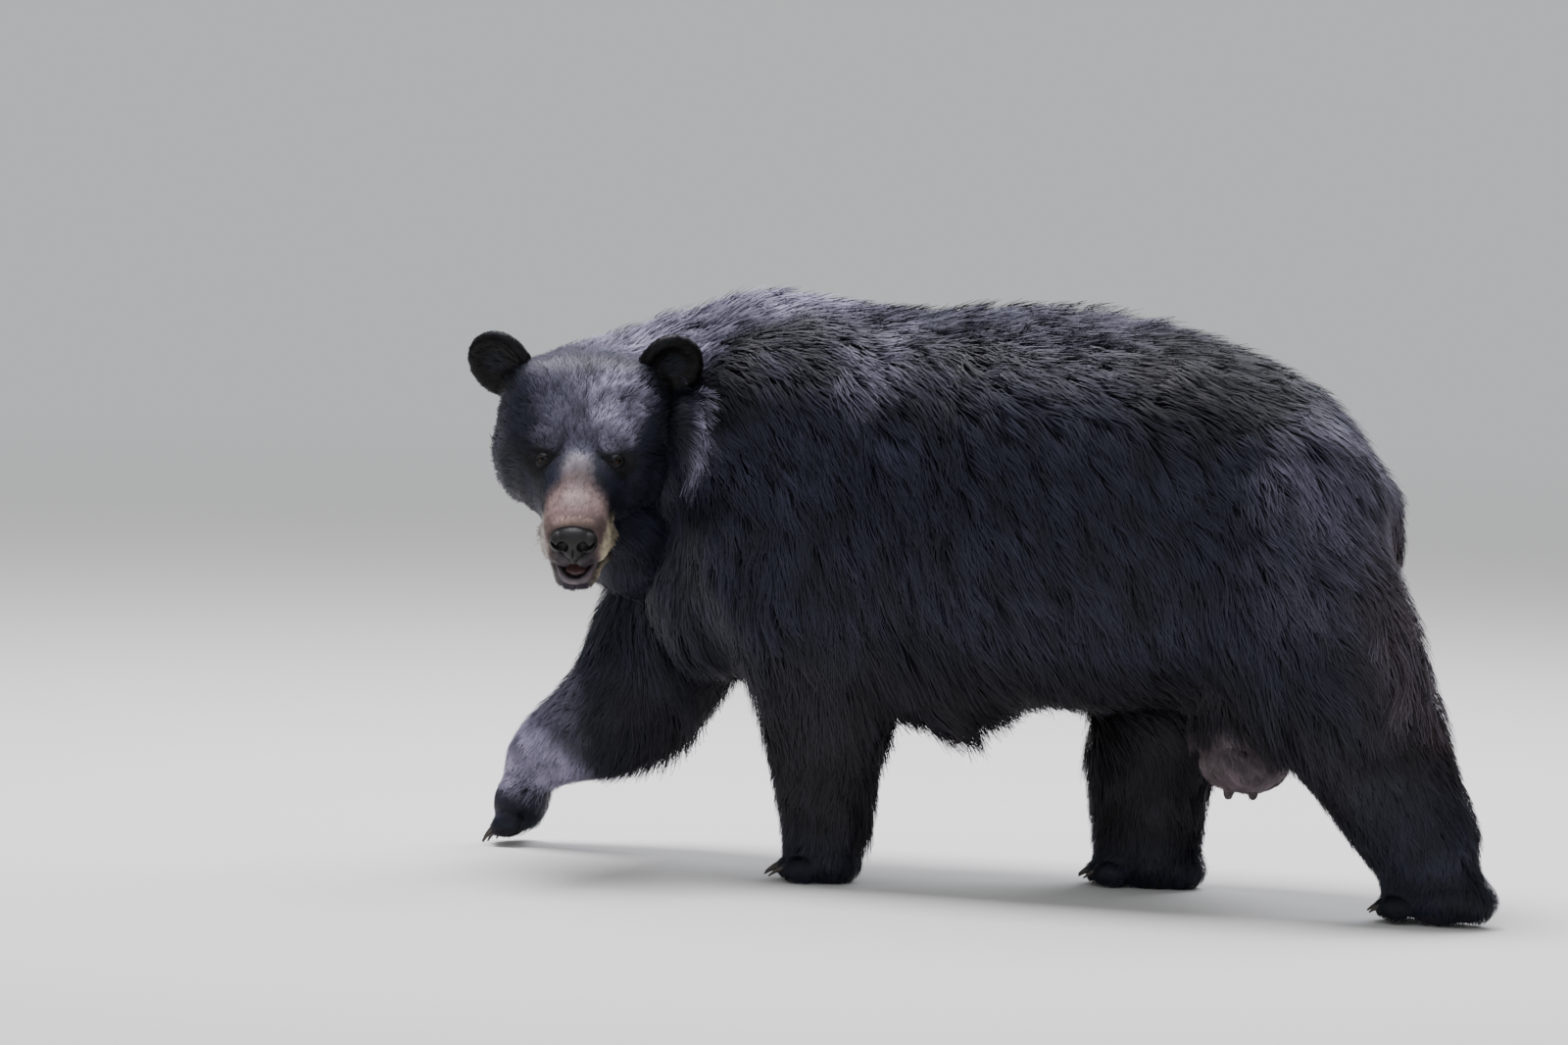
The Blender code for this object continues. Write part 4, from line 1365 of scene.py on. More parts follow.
    def painted_shade_spots(self) -> list[Marking]:
        """Painted shade: dark places where the coat parts and where shade falls on crown, shoulder and back.

        Returns:
            Those between the ears, on the shoulder and along the back, and the shade below the ears.
        """
        middle = box_centre("belly").x
        # All these spots are painted shade; they also take away the pale tips.
        dark = Tone.EAR_INSIDE
        found = [
            Marking((middle + 0.12, -0.323, 0.63), (0.1, 0.036, 0.055), dark, 0.75),
            Marking((middle + 0.1, -0.255, 0.68), (0.08, 0.028, 0.03), dark, 0.6),
            Marking((middle + 0.1, -0.016, 0.665), (0.08, 0.045, 0.018), dark, 0.55),
            Marking((middle + 0.1, 0.3, 0.66), (0.16, 0.14, 0.075), dark, 0.8),
        ]
        found += self.spots((((0.01, 0.002, 0.094), (0.016, 0.007, 0.014), dark, 0.9),
                             ((-0.045, 0.004, 0.1), (0.062, 0.06, 0.045), dark, 0.45)), mirrored=False)
        return found + self.spots((((-0.015, 0.08, 0.074), (0.034, 0.02, 0.028), dark, 0.85),
                                   ((0.01, 0.098, 0.02), (0.06, 0.02, 0.06), dark, 0.5)))

    def pale_and_sunlit_tips(self) -> list[Marking]:
        """Where the guard hairs have pale tips: partly their own grizzle, and partly painted sunlight and
        sheen on lit places.

        Returns:
            The pale places; where they overlap the strongest counts.
        """
        middle, top = box_centre("belly").x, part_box("neck")[1].z
        wrist, paw = box_centre("foreleg_right"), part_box("forepaw_right")[1]
        paw_x = box_centre("forepaw_right").x
        silver = Tone.SILVER
        # Painted sunlight on the lit forehead, brows, cheek and ruff, over some real grizzle.
        on_head = self.spots((
            ((0.03, -0.01, 0.078), (0.09, 0.05, 0.055), silver, 0.3),
            ((0.046, 0.038, 0.064), (0.05, 0.036, 0.046), silver, 1.0),
            ((0.072, 0.046, 0.03), (0.016, 0.028, 0.013), silver, 0.7),
            ((0.072, -0.04, 0.032), (0.016, 0.024, 0.012), silver, 0.3),
            ((0.09, 0, 0.034), (0.024, 0.022, 0.022), silver, 0.3),
            ((-0.06, 0, 0.1), (0.07, 0.06, 0.06), silver, 0.08),
            ((0, -0.108, -0.005), (0.06, 0.03, 0.09), silver, 0.38),
            ((-0.002, 0.14, 0.01), (0.05, 0.017, 0.06), silver, 1.0),
        ), mirrored=False)
        # Painted sunlight and sheen on the lit tops of neck, shoulders, back and rump, on the forearm and on
        # the wrist.
        on_body = (
            ((middle, -0.36, top), (0.24, 0.24, 0.06), 0.95),
            ((middle + 0.06, -0.44, 0.66), (0.12, 0.1, 0.08), 0.7),
            ((middle + 0.12, -0.375, 0.7), (0.12, 0.055, 0.045), 0.85),
            ((middle, -0.16, top), (0.24, 0.14, 0.04), 0.42),
            ((middle + 0.12, -0.144, 0.667), (0.12, 0.045, 0.06), 0.3),
            ((middle, 0.05, top), (0.24, 0.21, 0.08), 0.17),
            ((middle, 0.47, 0.56), (0.26, 0.13, 0.12), 0.27),
            ((middle, 0.44, 0.44), (0.26, 0.12, 0.1), 0.14),
            ((middle, 0.58, 0.4), (0.26, 0.1, 0.14), 0.22),
            ((wrist.x + 0.03, wrist.y - 0.06, wrist.z), (0.09, 0.07, 0.09), 0.22),
            ((paw_x + 0.02, paw.y - 0.05, paw.z), (0.08, 0.07, 0.055), 1.0),
        )
        return on_head + [Marking(at, radii, silver, strength) for at, radii, strength in on_body]

    @staticmethod
    def cloudy(points: np.ndarray, size: float) -> np.ndarray:
        """Soft noise about 0, with patches of the size given in metres."""
        return np.array([noise.noise(Vector(p)) for p in (points / size).tolist()], np.float32)

    def groom_ears(self, coat: dict[str, np.ndarray], points: np.ndarray) -> np.ndarray:
        """Gives the ears short hair that points away from their roots, with painted shade inside the cup and
        a brownish painted highlight on the rim.

        Args:
            coat: the coat's numbers and tone, which change.
            points: the places that they belong to.

        Returns:
            How far each place is part of an ear.
        """
        hearing = np.zeros(len(points))
        for sign in SIDES:
            axes = self.head.ear_frame(sign)
            local = into(axes, points)
            ear = 1 - smoothstep(0.95, 1.25, np.linalg.norm(local / np.array((0.02, 0.0455, 0.0485)), axis=1))
            hearing = np.maximum(hearing, ear)
            outward = unit(local - np.array((-0.004, 0, -0.042)))
            coat["lie"] = turned(coat["lie"], outward @ np.array(axes, np.float32)[:3, :3].T, ear)
            round_rim = np.linalg.norm(local[:, 1:] / np.array(self.head.ear_radii[1:]), axis=1)
            rim = smoothstep(0.8, 0.95, round_rim)
            inside = (local[:, 0] > 0) * (1 - rim) * ear
            # Inside the cup the tone turns to painted shade, and on the rim half way to a brownish painted
            # highlight.
            for key, value, share in (
                    ("length", 0.01 + 0.004 * inside, ear), ("depth", 0.0035, ear), ("free", 0.25, ear),
                    ("tone", Tone.EAR_INSIDE.rgb, inside), ("tone", Tone.EAR_RIM.rgb, rim * ear * 0.5)):
                coat[key] = turned(coat[key], value, share)
            coat["tone"] = coat["tone"] * (1 - 0.4 * ear)[:, None]
        return hearing

    def groom_eyes(self, coat: dict[str, np.ndarray], points: np.ndarray) -> None:
        """Gives the lids fine hair that points away from the eye, and bare dark rims.

        Args:
            coat: the coat's numbers and tone, which change.
            points: the places that they belong to.
        """
        for sign in SIDES:
            axes = self.eye_axes(sign)
            eye = into(axes, points)
            way = unit(eye)
            near = 1 - smoothstep(0.014, 0.024, np.linalg.norm(eye, axis=1))
            spread = np.stack([0 * way[:, 0], way[:, 1], way[:, 2] * 0.8], 1) @ np.array(axes)[:3, :3].T
            coat["lie"] = turned(coat["lie"], unit(spread), near)
            coat["length"] = turned(coat["length"], 0.0042, near)
            coat["depth"] = turned(coat["depth"], 0.0011, near)
            rim = (1 - smoothstep(0.0007, 0.0014, self.beyond_lids(way))) * (near > 0)
            coat["cover"] = coat["cover"] * (1 - rim)
            coat["tone"] = coat["tone"] * (1 - 0.6 * rim)[:, None]

    def store_fields(self, skin: Part) -> None:
        """Stores the lie, length, depth, looseness, cover and colours at every vertex.

        Args:
            skin: what takes them.
        """
        mesh = skin.data
        points, up = places(mesh), normals(mesh)
        coat = self.comb.read(points)
        bare = self.udder().share(points)
        coat["length"] = coat["length"] * (1 - 0.6 * bare)
        coat["depth"] = (coat["depth"] + coat.pop("lift")) * (1 - 0.75 * bare)
        coat["tone"] = np.tile(Tone.BLACK.rgb, (len(points), 1))
        for marking in self.markings():
            share = marking.share(points)
            coat["tone"] = turned(coat["tone"], marking.tone.rgb, share)
            coat["cover"] = coat["cover"] * (1 - marking.bare * share)
        hearing = self.groom_ears(coat, points)
        self.groom_eyes(coat, points)
        sole = smoothstep(0.45, 0.75, -up[:, 2]) * (1 - smoothstep(0.018, 0.03, points[:, 2]))
        coat["cover"] = coat["cover"] * (1 - sole)
        tone = turned(coat.pop("tone"), Tone.PAD.rgb, sole)
        tone = tone * (1 + 0.8 * self.cloudy(points, 0.035) + 0.5 * self.cloudy(points, 0.009))[:, None]
        lie = coat.pop("lie")
        # Pale tips and painted sunlight, taken away under the painted shade and on the ears.
        silver, shade_share = (np.max([spot.share(points) for spot in spots], axis=0)
                          for spots in (self.pale_and_sunlit_tips(), self.painted_shade_spots()))
        silver = silver * (1 - shade_share) * (1 - hearing)
        coat["silver"] = silver * (0.8 + 0.9 * self.cloudy(points, 0.022))
        coat["broad"] = np.clip(0.0004 + 0.022 * coat["length"], 0.0006, 0.0014)
        coat["bareness"] = 1 - np.clip(coat["cover"], 0, 1)
        store(mesh, "up", "FLOAT_VECTOR", up)
        store(mesh, "lie", "FLOAT_VECTOR", unit(lie - up * (lie * up).sum(1, keepdims=True)))
        store(mesh, "tone", "FLOAT_COLOR", np.concatenate([tone, np.ones((len(points), 1))], 1))
        for name, values in coat.items():
            store(mesh, name, "FLOAT", values)


# ---- finishes
@dataclass(frozen=True)
class Finish:
    """A Principled finish. Its colours and bump are nodes, and its constants are set on the shader."""

    name: str
    roughness: float
    specular: float = 0.5
    coat: float = 0.0
    subsurface: float = 0.0

    def start(self) -> tuple[Material, NodeTree, Node]:
        """Makes the material with its constants.

        Returns:
            The material, its tree and its shader.
        """
        made = bpy.data.materials.new(self.name)
        made.use_nodes = True
        shader = feed(made.node_tree.nodes["Principled BSDF"], {
            "Roughness": self.roughness, "Specular IOR Level": self.specular, "Coat Weight": self.coat,
            "Coat Roughness": 0.06, "Subsurface Weight": self.subsurface, "Subsurface Scale": 0.004})
        return made, made.node_tree, shader


@dataclass(frozen=True)
class GuardHair(Finish):
    """Bear hair: a keratin shaft with a smooth cuticle, glossier towards the tip, with painted shade at the
    root.
    """

    # The root's darker tone is painted shade where the tufts cover each other.
    shaded_root: tuple[float, ...] = (0.6, 0.6, 0.62, 1)
    at_tip: tuple[float, ...] = (1.15, 1.15, 1.2, 1)
    pale_tip_power: float = 1.6  # more keeps the pale colour closer to the tip

    def build(self) -> Material:
        """The stored tone, darker at the root as painted shade, and pale at the tip where grizzle and painted
        sunlight lie.

        Returns:
            The material.
        """
        made, tree, shader = self.start()
        tone, along, silver = (add_node(tree, "ShaderNodeAttribute", attribute_name=name)
                               for name in ("tone", "along", "silver"))
        rising = out(along, "Fac")
        shade = add_node(tree, "ShaderNodeMix", {0: rising, 6: self.shaded_root, 7: self.at_tip},
                         data_type="RGBA")
        shaded = add_node(tree, "ShaderNodeMix", {0: 1.0, 6: out(tone, "Color"), 7: out(shade, "Result")},
                          data_type="RGBA", blend_type="MULTIPLY")
        pale_tip_share = rising ** self.pale_tip_power * out(silver, "Fac")
        final = add_node(tree, "ShaderNodeMix", {
            0: pale_tip_share, 6: out(shaded, "Result"), 7: linear(Tone.SILVER.value)}, data_type="RGBA")
        feed(shader, {"Base Color": out(final, "Result")})
        return made


@dataclass(frozen=True)
class BearSkin(Finish):
    """Skin under fur: matte and dark, finely wrinkled where it is bare, each wrinkle about 2 mm."""

    wrinkles: float = 420.0  # in a metre
    patches: float = 60.0  # in a metre

    def build(self) -> Material:
        """The stored tone, darkened under hair as painted shade beneath the coat, and full where the skin is
        bare, with wrinkles.

        Returns:
            The material.
        """
        made, tree, shader = self.start()
        tone, bare = (add_node(tree, "ShaderNodeAttribute", attribute_name=name)
                      for name in ("tone", "bareness"))
        place = out(add_node(tree, "ShaderNodeTexCoord"), "Object")
        wrinkle, mottle = (
            add_node(tree, "ShaderNodeTexNoise", {"Vector": place, "Scale": scale, "Detail": detail})
            for scale, detail in ((self.wrinkles, 4.0), (self.patches, 3.0)))
        # Under hair the skin is darkened to about half, as painted shade beneath the coat, with random
        # mottle.
        shade_under_coat = out(mottle, "Fac").then("MULTIPLY_ADD", 0.5, 0.25)
        level = out(bare, "Fac").then("MULTIPLY_ADD", 0.5, shade_under_coat)
        bump = add_node(tree, "ShaderNodeBump",
                        {"Strength": 0.5, "Distance": 0.0006, "Height": out(wrinkle, "Fac")})
        feed(shader, {"Base Color": out(tone, "Color") * level, "Normal": out(bump)})
        return made


@dataclass(frozen=True)
class Mottled(Finish):
    """A surface whose colour wanders between two, with a fine relief."""

    dark: str = "#000000"
    light: str = "#ffffff"
    patches: float = 100.0  # of colour in a metre
    detail: float = 2.0  # how finely the patches are broken up
    pebbles: float = 0.0  # cells of the relief in a metre, or 0 where the patches give it
    relief: float = 0.0  # strength of the relief

    def build(self) -> Material:
        """Two colours mixed by noise, with cells or the same noise as bump.

        Returns:
            The material.
        """
        made, tree, shader = self.start()
        place = out(add_node(tree, "ShaderNodeTexCoord"), "Object")
        patch = out(add_node(tree, "ShaderNodeTexNoise",
                             {"Vector": place, "Scale": self.patches, "Detail": self.detail}), "Fac")
        colour = add_node(tree, "ShaderNodeMix", {0: patch, 6: linear(self.dark), 7: linear(self.light)},
                          data_type="RGBA")
        feed(shader, {"Base Color": out(colour, "Result")})
        if self.relief:
            height = patch
            if self.pebbles:
                cells = add_node(tree, "ShaderNodeTexVoronoi", {"Vector": place, "Scale": self.pebbles})
                height = out(cells, "Distance")
            bump = add_node(tree, "ShaderNodeBump",
                            {"Strength": self.relief, "Distance": 0.0004, "Height": height})
            feed(shader, {"Normal": out(bump)})
        return made


@dataclass(frozen=True)
class WetEye(Finish):
    """A wet eye: dark brown iris round a black pupil, under a clear glossy cornea."""

    stops: tuple[tuple[float, str], ...] = (
        (0.0, "#020202"), (0.25, "#030202"), (0.29, "#1c100a"), (0.5, "#2a180d"), (0.6, "#0a0605"),
        (0.8, "#15100e"))

    def build(self) -> Material:
        """Rings of colour by the stored distance from the middle of the iris.

        Returns:
            The material.
        """
        made, tree, shader = self.start()
        disc = add_node(tree, "ShaderNodeAttribute", attribute_name="disc")
        ramp = add_node(tree, "ShaderNodeValToRGB", {"Fac": out(disc, "Fac")})
        while len(ramp.color_ramp.elements) < len(self.stops):
            ramp.color_ramp.elements.new(0.5)
        for element, (position, colour) in zip(ramp.color_ramp.elements, self.stops):
            element.position = position
            element.color = linear(colour)
        feed(shader, {"Base Color": out(ramp, "Color")})
        return made


GUARD_HAIR = GuardHair("guard_hair", roughness=0.54, specular=0.22)
BEAR_SKIN = BearSkin("bear_skin", roughness=0.62, specular=0.35)
# Nose leather: moist black skin in fine pebbles about a millimetre across.
NOSE_LEATHER = Mottled("nose_leather", roughness=0.48, specular=0.3, dark="#0a0909", light="#191817",
                       patches=90.0, pebbles=850.0, relief=0.55)
# Claw horn: dark, smooth keratin with a faint grain about 4 mm long.
CLAW_HORN = Mottled("claw_horn", roughness=0.32, dark="#17130f", light="#3d342b", patches=260.0, detail=3.0)
# Tongue: wet brownish-pink flesh with fine papillae.
TONGUE_FLESH = Mottled("tongue_flesh", roughness=0.35, subsurface=0.1, dark="#3d2828", light="#614546",
                       patches=700.0, relief=0.4)
WET_EYE = WetEye("eye_surface", roughness=0.05, specular=0.12, coat=0.05)


# ---- the coat
@dataclass
class TuftTree:
    """The tree that plants tufts on a patch of skin and lays them along the whole skin."""

    patch: float  # side of a tuft's patch in the map
    tree: NodeTree = field(init=False)
    enter: Node = field(init=False)
    place: Field = field(init=False)
    read: dict[str, Field] = field(default_factory=dict)

    def __post_init__(self) -> None:
        """Makes the tree with its named inputs, and the nodes that read what is stored."""
        tree = self.tree = bpy.data.node_groups.new("coat", "GeometryNodeTree")
        for name, kind in (("Geometry", "Geometry"), ("Skin", "Object"), ("Segments", "Int"), ("Seed", "Int"),
                           ("Fullness", "Float"), ("Lock Size", "Float"), ("Gather", "Float"),
                           ("Fray", "Float"), ("Material", "Material")):
            tree.interface.new_socket(name, in_out="INPUT", socket_type=f"NodeSocket{kind}")
        tree.interface.new_socket("Geometry", in_out="OUTPUT", socket_type="NodeSocketGeometry")
        self.enter = add_node(tree, "NodeGroupInput")
        self.place = out(add_node(tree, "GeometryNodeInputPosition"))
        for kind, names in (("FLOAT", "length broad depth free cover along side"),
                            ("FLOAT_VECTOR", "up lie luck more_luck root lock lock_luck comb tone unwrap")):
            for name in names.split():
                made = add_node(tree, "GeometryNodeInputNamedAttribute", {"Name": name}, data_type=kind)
                self.read[name] = out(made, "Attribute")

    def kept(self, geometry: Field, kind: str = "", domain: str = "POINT", **values: Field) -> Field:
        """Stores values on a geometry.

        Args:
            geometry: what takes them.
            kind: how they are stored, or nothing for plain numbers and vectors.
            domain: on points or on corners.
            values: each value by its name.

        Returns:
            The geometry that holds them.
        """
        for name, value in values.items():
            stored_as = kind or ("FLOAT" if value.is_number else "FLOAT_VECTOR")
            geometry = out(add_node(
                self.tree, "GeometryNodeStoreNamedAttribute",
                {"Geometry": geometry, "Name": name, "Value": value}, data_type=stored_as, domain=domain))
        return geometry

    def planted(self) -> Field:
        """Scatters roots over the patch.

        Returns:
            Points, with all that a tuft needs to know stored on them.
        """
        tree, enter, place, read = self.tree, self.enter, self.place, self.read
        # Each place's number of tufts: the depth in tufts over the area of one.
        density = out(enter, "Fullness") * read["cover"] / (read["length"] * read["broad"] * 0.62)
        points = out(add_node(
            tree, "GeometryNodeDistributePointsOnFaces",
            {"Mesh": out(enter, "Geometry"), "Density": density, "Seed": out(enter, "Seed")}), "Points")
        luck, more_luck = (out(add_node(
            tree, "FunctionNodeRandomValue", {"Min": (0, 0, 0), "Max": (1, 1, 1), "Seed": seed},
            data_type="FLOAT_VECTOR"), "Value") for seed in (0, 5))
        locks = add_node(tree, "ShaderNodeTexVoronoi",
                         {"Vector": place, "Scale": 1.0 / out(enter, "Lock Size")})
        swirl = add_node(tree, "ShaderNodeTexNoise", {"Vector": place, "Scale": 9.0, "Detail": 2.0})
        points = self.kept(points, luck=luck, more_luck=more_luck, root=place,
                           lock=out(locks, "Position") - place, lock_luck=out(locks, "Color"))
        half = (0.5, 0.5, 0.5)
        stray = (read["luck"] - half) * out(enter, "Fray")
        shared = (read["lock_luck"] - half) * 0.55
        wave = (out(swirl, "Color") - half) * 1.2
        way = (read["lie"] + stray) + (shared + wave)
        rise = read["up"] * way.then("DOT_PRODUCT", read["up"])
        return self.kept(points, comb=(way - rise).then("NORMALIZE"))

    def tuft(self) -> Field:
        """Makes one flat, pointed tuft: side runs over its width from -1 to 1, along from root to tip.

        Returns:
            The tuft's mesh.
        """
        tree = self.tree
        card = add_node(tree, "GeometryNodeMeshGrid", {
            "Size X": 2.0, "Size Y": 1.0, "Vertices X": 2, "Vertices Y": out(self.enter, "Segments") + 1.0})
        spot = add_node(tree, "ShaderNodeSeparateXYZ", {0: self.place})
        flat = self.kept(out(card, "Mesh"), along=out(spot, "Y") + 0.5)
        at_tip = self.read["along"].then("GREATER_THAN", 0.999)
        pointed = add_node(tree, "GeometryNodeSetPosition",
                           {"Geometry": flat, "Selection": at_tip, "Position": (0.0, 0.5, 0.0)})
        closed = add_node(tree, "GeometryNodeMergeByDistance", {"Geometry": out(pointed), "Distance": 1e-4})
        return self.kept(out(closed), side=out(spot, "X"))

    def laid(self, solid: Field, luck: Sequence[Node]) -> Field:
        """Lays every tuft along the skin by its length, depth and looseness.

        Args:
            solid: the tufts as they were planted.
            luck: each tuft's two sets of chances, and the chances of its lock.

        Returns:
            The tufts in their places.
        """
        tree, enter, read = self.tree, self.enter, self.read
        own, more, lock = luck
        along, up, comb = read["along"], read["up"], read["comb"]
        reach = read["length"] * out(more, "X").then("MULTIPLY_ADD", 0.55, 0.65)
        gather = read["lock"] * (out(enter, "Gather") * along ** 1.4)
        fall = reach * read["free"] * (along ** 2.0 * -0.7)
        hang = out(add_node(tree, "ShaderNodeCombineXYZ", {"Z": fall}))
        target = (read["root"] + comb * (reach * along)) + (gather + hang)
        whole = out(add_node(tree, "GeometryNodeObjectInfo", {"Object": out(enter, "Skin")}), "Geometry")
        foot, foot_up = (out(add_node(
            tree, "GeometryNodeSampleNearestSurface",
            {"Mesh": whole, "Value": value, "Sample Position": target},
            data_type="FLOAT_VECTOR"), "Value") for value in (self.place, up))
        height = (read["depth"] * out(more, "Y").then("MULTIPLY_ADD", 0.55, 0.5)
                  * out(lock, "X").then("MULTIPLY_ADD", 0.3, 0.85) * (1.0 - (1.0 - along) ** 2.2))
        settled = add_node(tree, "ShaderNodeMix", {
            0: read["free"], 4: foot + foot_up * height, 5: target + up * height}, data_type="VECTOR")
        across = comb.then("CROSS_PRODUCT", up).then("NORMALIZE")
        twist = (out(own, "X") - 0.5) * 1.2
        edge = across * twist.then("COSINE") + up * twist.then("SINE")
        swell = 1.0 - (along - 0.3).then("ABSOLUTE") ** 1.3
        width = read["broad"] * 0.5 * swell * read["side"]
        curl = reach * along ** 2.0 * out(own, "Z").then("MULTIPLY_ADD", 0.24, -0.12)
        final = (out(settled, "Result") + across * curl + edge * width).then("MAXIMUM", (-9, -9, FLOOR_GAP))
        solid = self.kept(solid, soft=foot_up)
        return out(add_node(tree, "GeometryNodeSetPosition", {"Geometry": solid, "Position": final}))

    def build(self) -> NodeTree:
        """Joins the steps: roots, tufts, their places, their tone and their map.

        Returns:
            The whole tree.
        """
        tree, read = self.tree, self.read
        grown = add_node(tree, "GeometryNodeInstanceOnPoints",
                         {"Points": self.planted(), "Instance": self.tuft()})
        solid = out(add_node(tree, "GeometryNodeRealizeInstances", {"Geometry": out(grown)}))
        luck = [add_node(tree, "ShaderNodeSeparateXYZ", {0: read[name]})
                for name in ("luck", "more_luck", "lock_luck")]
        laid = self.laid(solid, luck)
        # Tone varies a little from tuft to tuft and from lock to lock.
        vary = (out(luck[0], "Y").then("MULTIPLY_ADD", 0.36, 0.82)
                * out(luck[2], "Y").then("MULTIPLY_ADD", 0.24, 0.88))
        toned = self.kept(laid, "FLOAT_COLOR", tone=read["tone"] * vary)
        spread = add_node(tree, "ShaderNodeCombineXYZ", {
            "X": read["side"] * (self.patch / 2), "Y": (read["along"] - 0.5) * self.patch})
        mapped = self.kept(toned, "FLOAT2", "CORNER", OFBake=read["unwrap"] + out(spread))
        smooth = out(add_node(tree, "GeometryNodeSetShadeSmooth", {"Geometry": mapped, "Shade Smooth": True}))
        dressed = add_node(tree, "GeometryNodeSetMaterial",
                           {"Geometry": smooth, "Material": out(self.enter, "Material")})
        add_node(tree, "NodeGroupOutput", {"Geometry": out(dressed)})
        return tree


@dataclass
class Coat:
    """Tufts planted on the skin, one piece for each part of the body."""

    skin: Part
    frame: Matrix
    solids: dict[str, Part]
    material: Material
    fullness: float = 5.0  # how many tufts deep the coat is
    patch: float = 0.003  # side of a tuft's patch in the map
    softness: float = 0.78  # how much a tuft's shading takes after the skin below it

    def parts(self) -> dict[str, np.ndarray]:
        """Which triangles of the skin belong to each piece of the coat.

        Returns:
            The triangles' numbers by the piece's name.
        """
        centres = places(self.skin.data)[triangles(self.skin.data)].mean(1)
        owners = []
        for name in FLESH:
            owners += [(name, co) for co in places(self.solids[name].data)]
        tree = KDTree(len(owners))
        for i, (_, co) in enumerate(owners):
            tree.insert(co, i)
        tree.balance()
        owner = np.array([FLESH.index(owners[tree.find(co)[1]][0]) for co in centres])
        found = {name: np.nonzero(owner == i)[0] for i, name in enumerate(FLESH)}
        return dict(self.divided(found, centres))

    def divided(self, found: dict[str, np.ndarray], centres: np.ndarray) -> Iterator[tuple[str, np.ndarray]]:
        """The parts, with the head cut into left and right and the largest parts of the trunk too.

        Args:
            found: the triangles of each node of the frame.
            centres: the middle of each triangle.

        Returns:
            A piece's name and its triangles.
        """
        middle = box_centre("belly").x
        own = into(self.frame, centres)
        for name, faces in found.items():
            if name in ("head", "jaw"):
                side = own[faces, 1] > 0
            elif name in ("neck", "chest", "belly", "rump"):
                side = centres[faces, 0] > middle
            else:
                yield name, faces
                continue
            yield f"{name}_left_side", faces[side]
            yield f"{name}_right_side", faces[~side]

    def patch_of(self, name: str, faces: np.ndarray) -> Part:
        """A copy of some of the skin's triangles, with what is stored on them and a map of their own.

        Args:
            name: of the copy.
            faces: the triangles' numbers.

        Returns:
            The copy.
        """
        mesh = self.skin.data
        used, new = np.unique(triangles(mesh)[faces], return_inverse=True)
        made = bpy.data.meshes.new(name)
        made.from_pydata(places(mesh)[used].tolist(), [], new.reshape(-1, 3).tolist())
        for layer in mesh.attributes:
            if layer.data_type in VALUE_KEYS and layer.name != "position":
                key, size = VALUE_KEYS[layer.data_type]
                values = np.empty(len(mesh.vertices) * size, np.float32)
                layer.data.foreach_get(key, values)
                store(made, layer.name, layer.data_type, values.reshape(-1, size)[used])
        patch = new_object(name, made)
        made.uv_layers.new(name="unwrap")
        bpy.context.view_layer.objects.active = patch
        bpy.ops.object.select_all(action="DESELECT")
        patch.select_set(True)
        bpy.ops.object.mode_set(mode="EDIT")
        bpy.ops.mesh.select_all(action="SELECT")
        bpy.ops.uv.smart_project(angle_limit=1.2, island_margin=0.004)
        bpy.ops.object.mode_set(mode="OBJECT")
        return patch

    def build(self) -> list[Part]:
        """Plants every piece of the coat.

        Returns:
            The pieces.
        """
        tree = TuftTree(self.patch).build()
        sockets = {item.name: item.identifier for item in tree.interface.items_tree if item.in_out == "INPUT"}
        made = []
        for i, (name, faces) in enumerate(self.parts().items()):
            fine = name.startswith(("head", "jaw", "ear")) or "paw" in name
            slim = fine or "leg" in name
            patch = self.patch_of(f"coat_{name}", faces)
            grow = patch.modifiers.new("Coat", "NODES")
            grow.node_group = tree
            values = {"Skin": self.skin, "Segments": 2, "Seed": SEED + i,
                      "Fullness": self.fullness * 1.0 * self.share(name),
                      "Lock Size": 0.006 if fine else 0.01 if slim else 0.018,
                      "Gather": 0.35, "Fray": 0.35, "Material": self.material}
            for key, value in values.items():
                grow[sockets[key]] = value
            baked(patch)
            self.soften(patch.data)
            patch.data.calc_loop_triangles()
            LOG.info("%s: %d triangles", patch.name, len(patch.data.loop_triangles))
            made.append(patch)
        return made

    @staticmethod
    def share(name: str) -> float:
        """The share of the full coat that a part carries."""
        if "paw" in name:
            return 0.4
        return 0.75 if name.startswith(("head", "jaw", "ear")) else 1.0

    def soften(self, mesh: Mesh) -> None:
        """Turns the shading of the tufts towards the skin's, and drops the numbers that are used up.

        Args:
            mesh: the tufts.
        """
        soft = np.empty(len(mesh.vertices) * 3, np.float32)
        mesh.attributes["soft"].data.foreach_get("vector", soft)
        mixed = unit(normals(mesh) * (1 - self.softness) + soft.reshape(-1, 3) * self.softness)
        keep = ("OFBake", "tone", "along", "silver", "position", "material_index", "sharp_face")
        for name in [layer.name for layer in mesh.attributes]:
            if name not in keep and not name.startswith("."):
                mesh.attributes.remove(mesh.attributes[name])
        mesh.normals_split_custom_set_from_vertices(mixed.tolist())


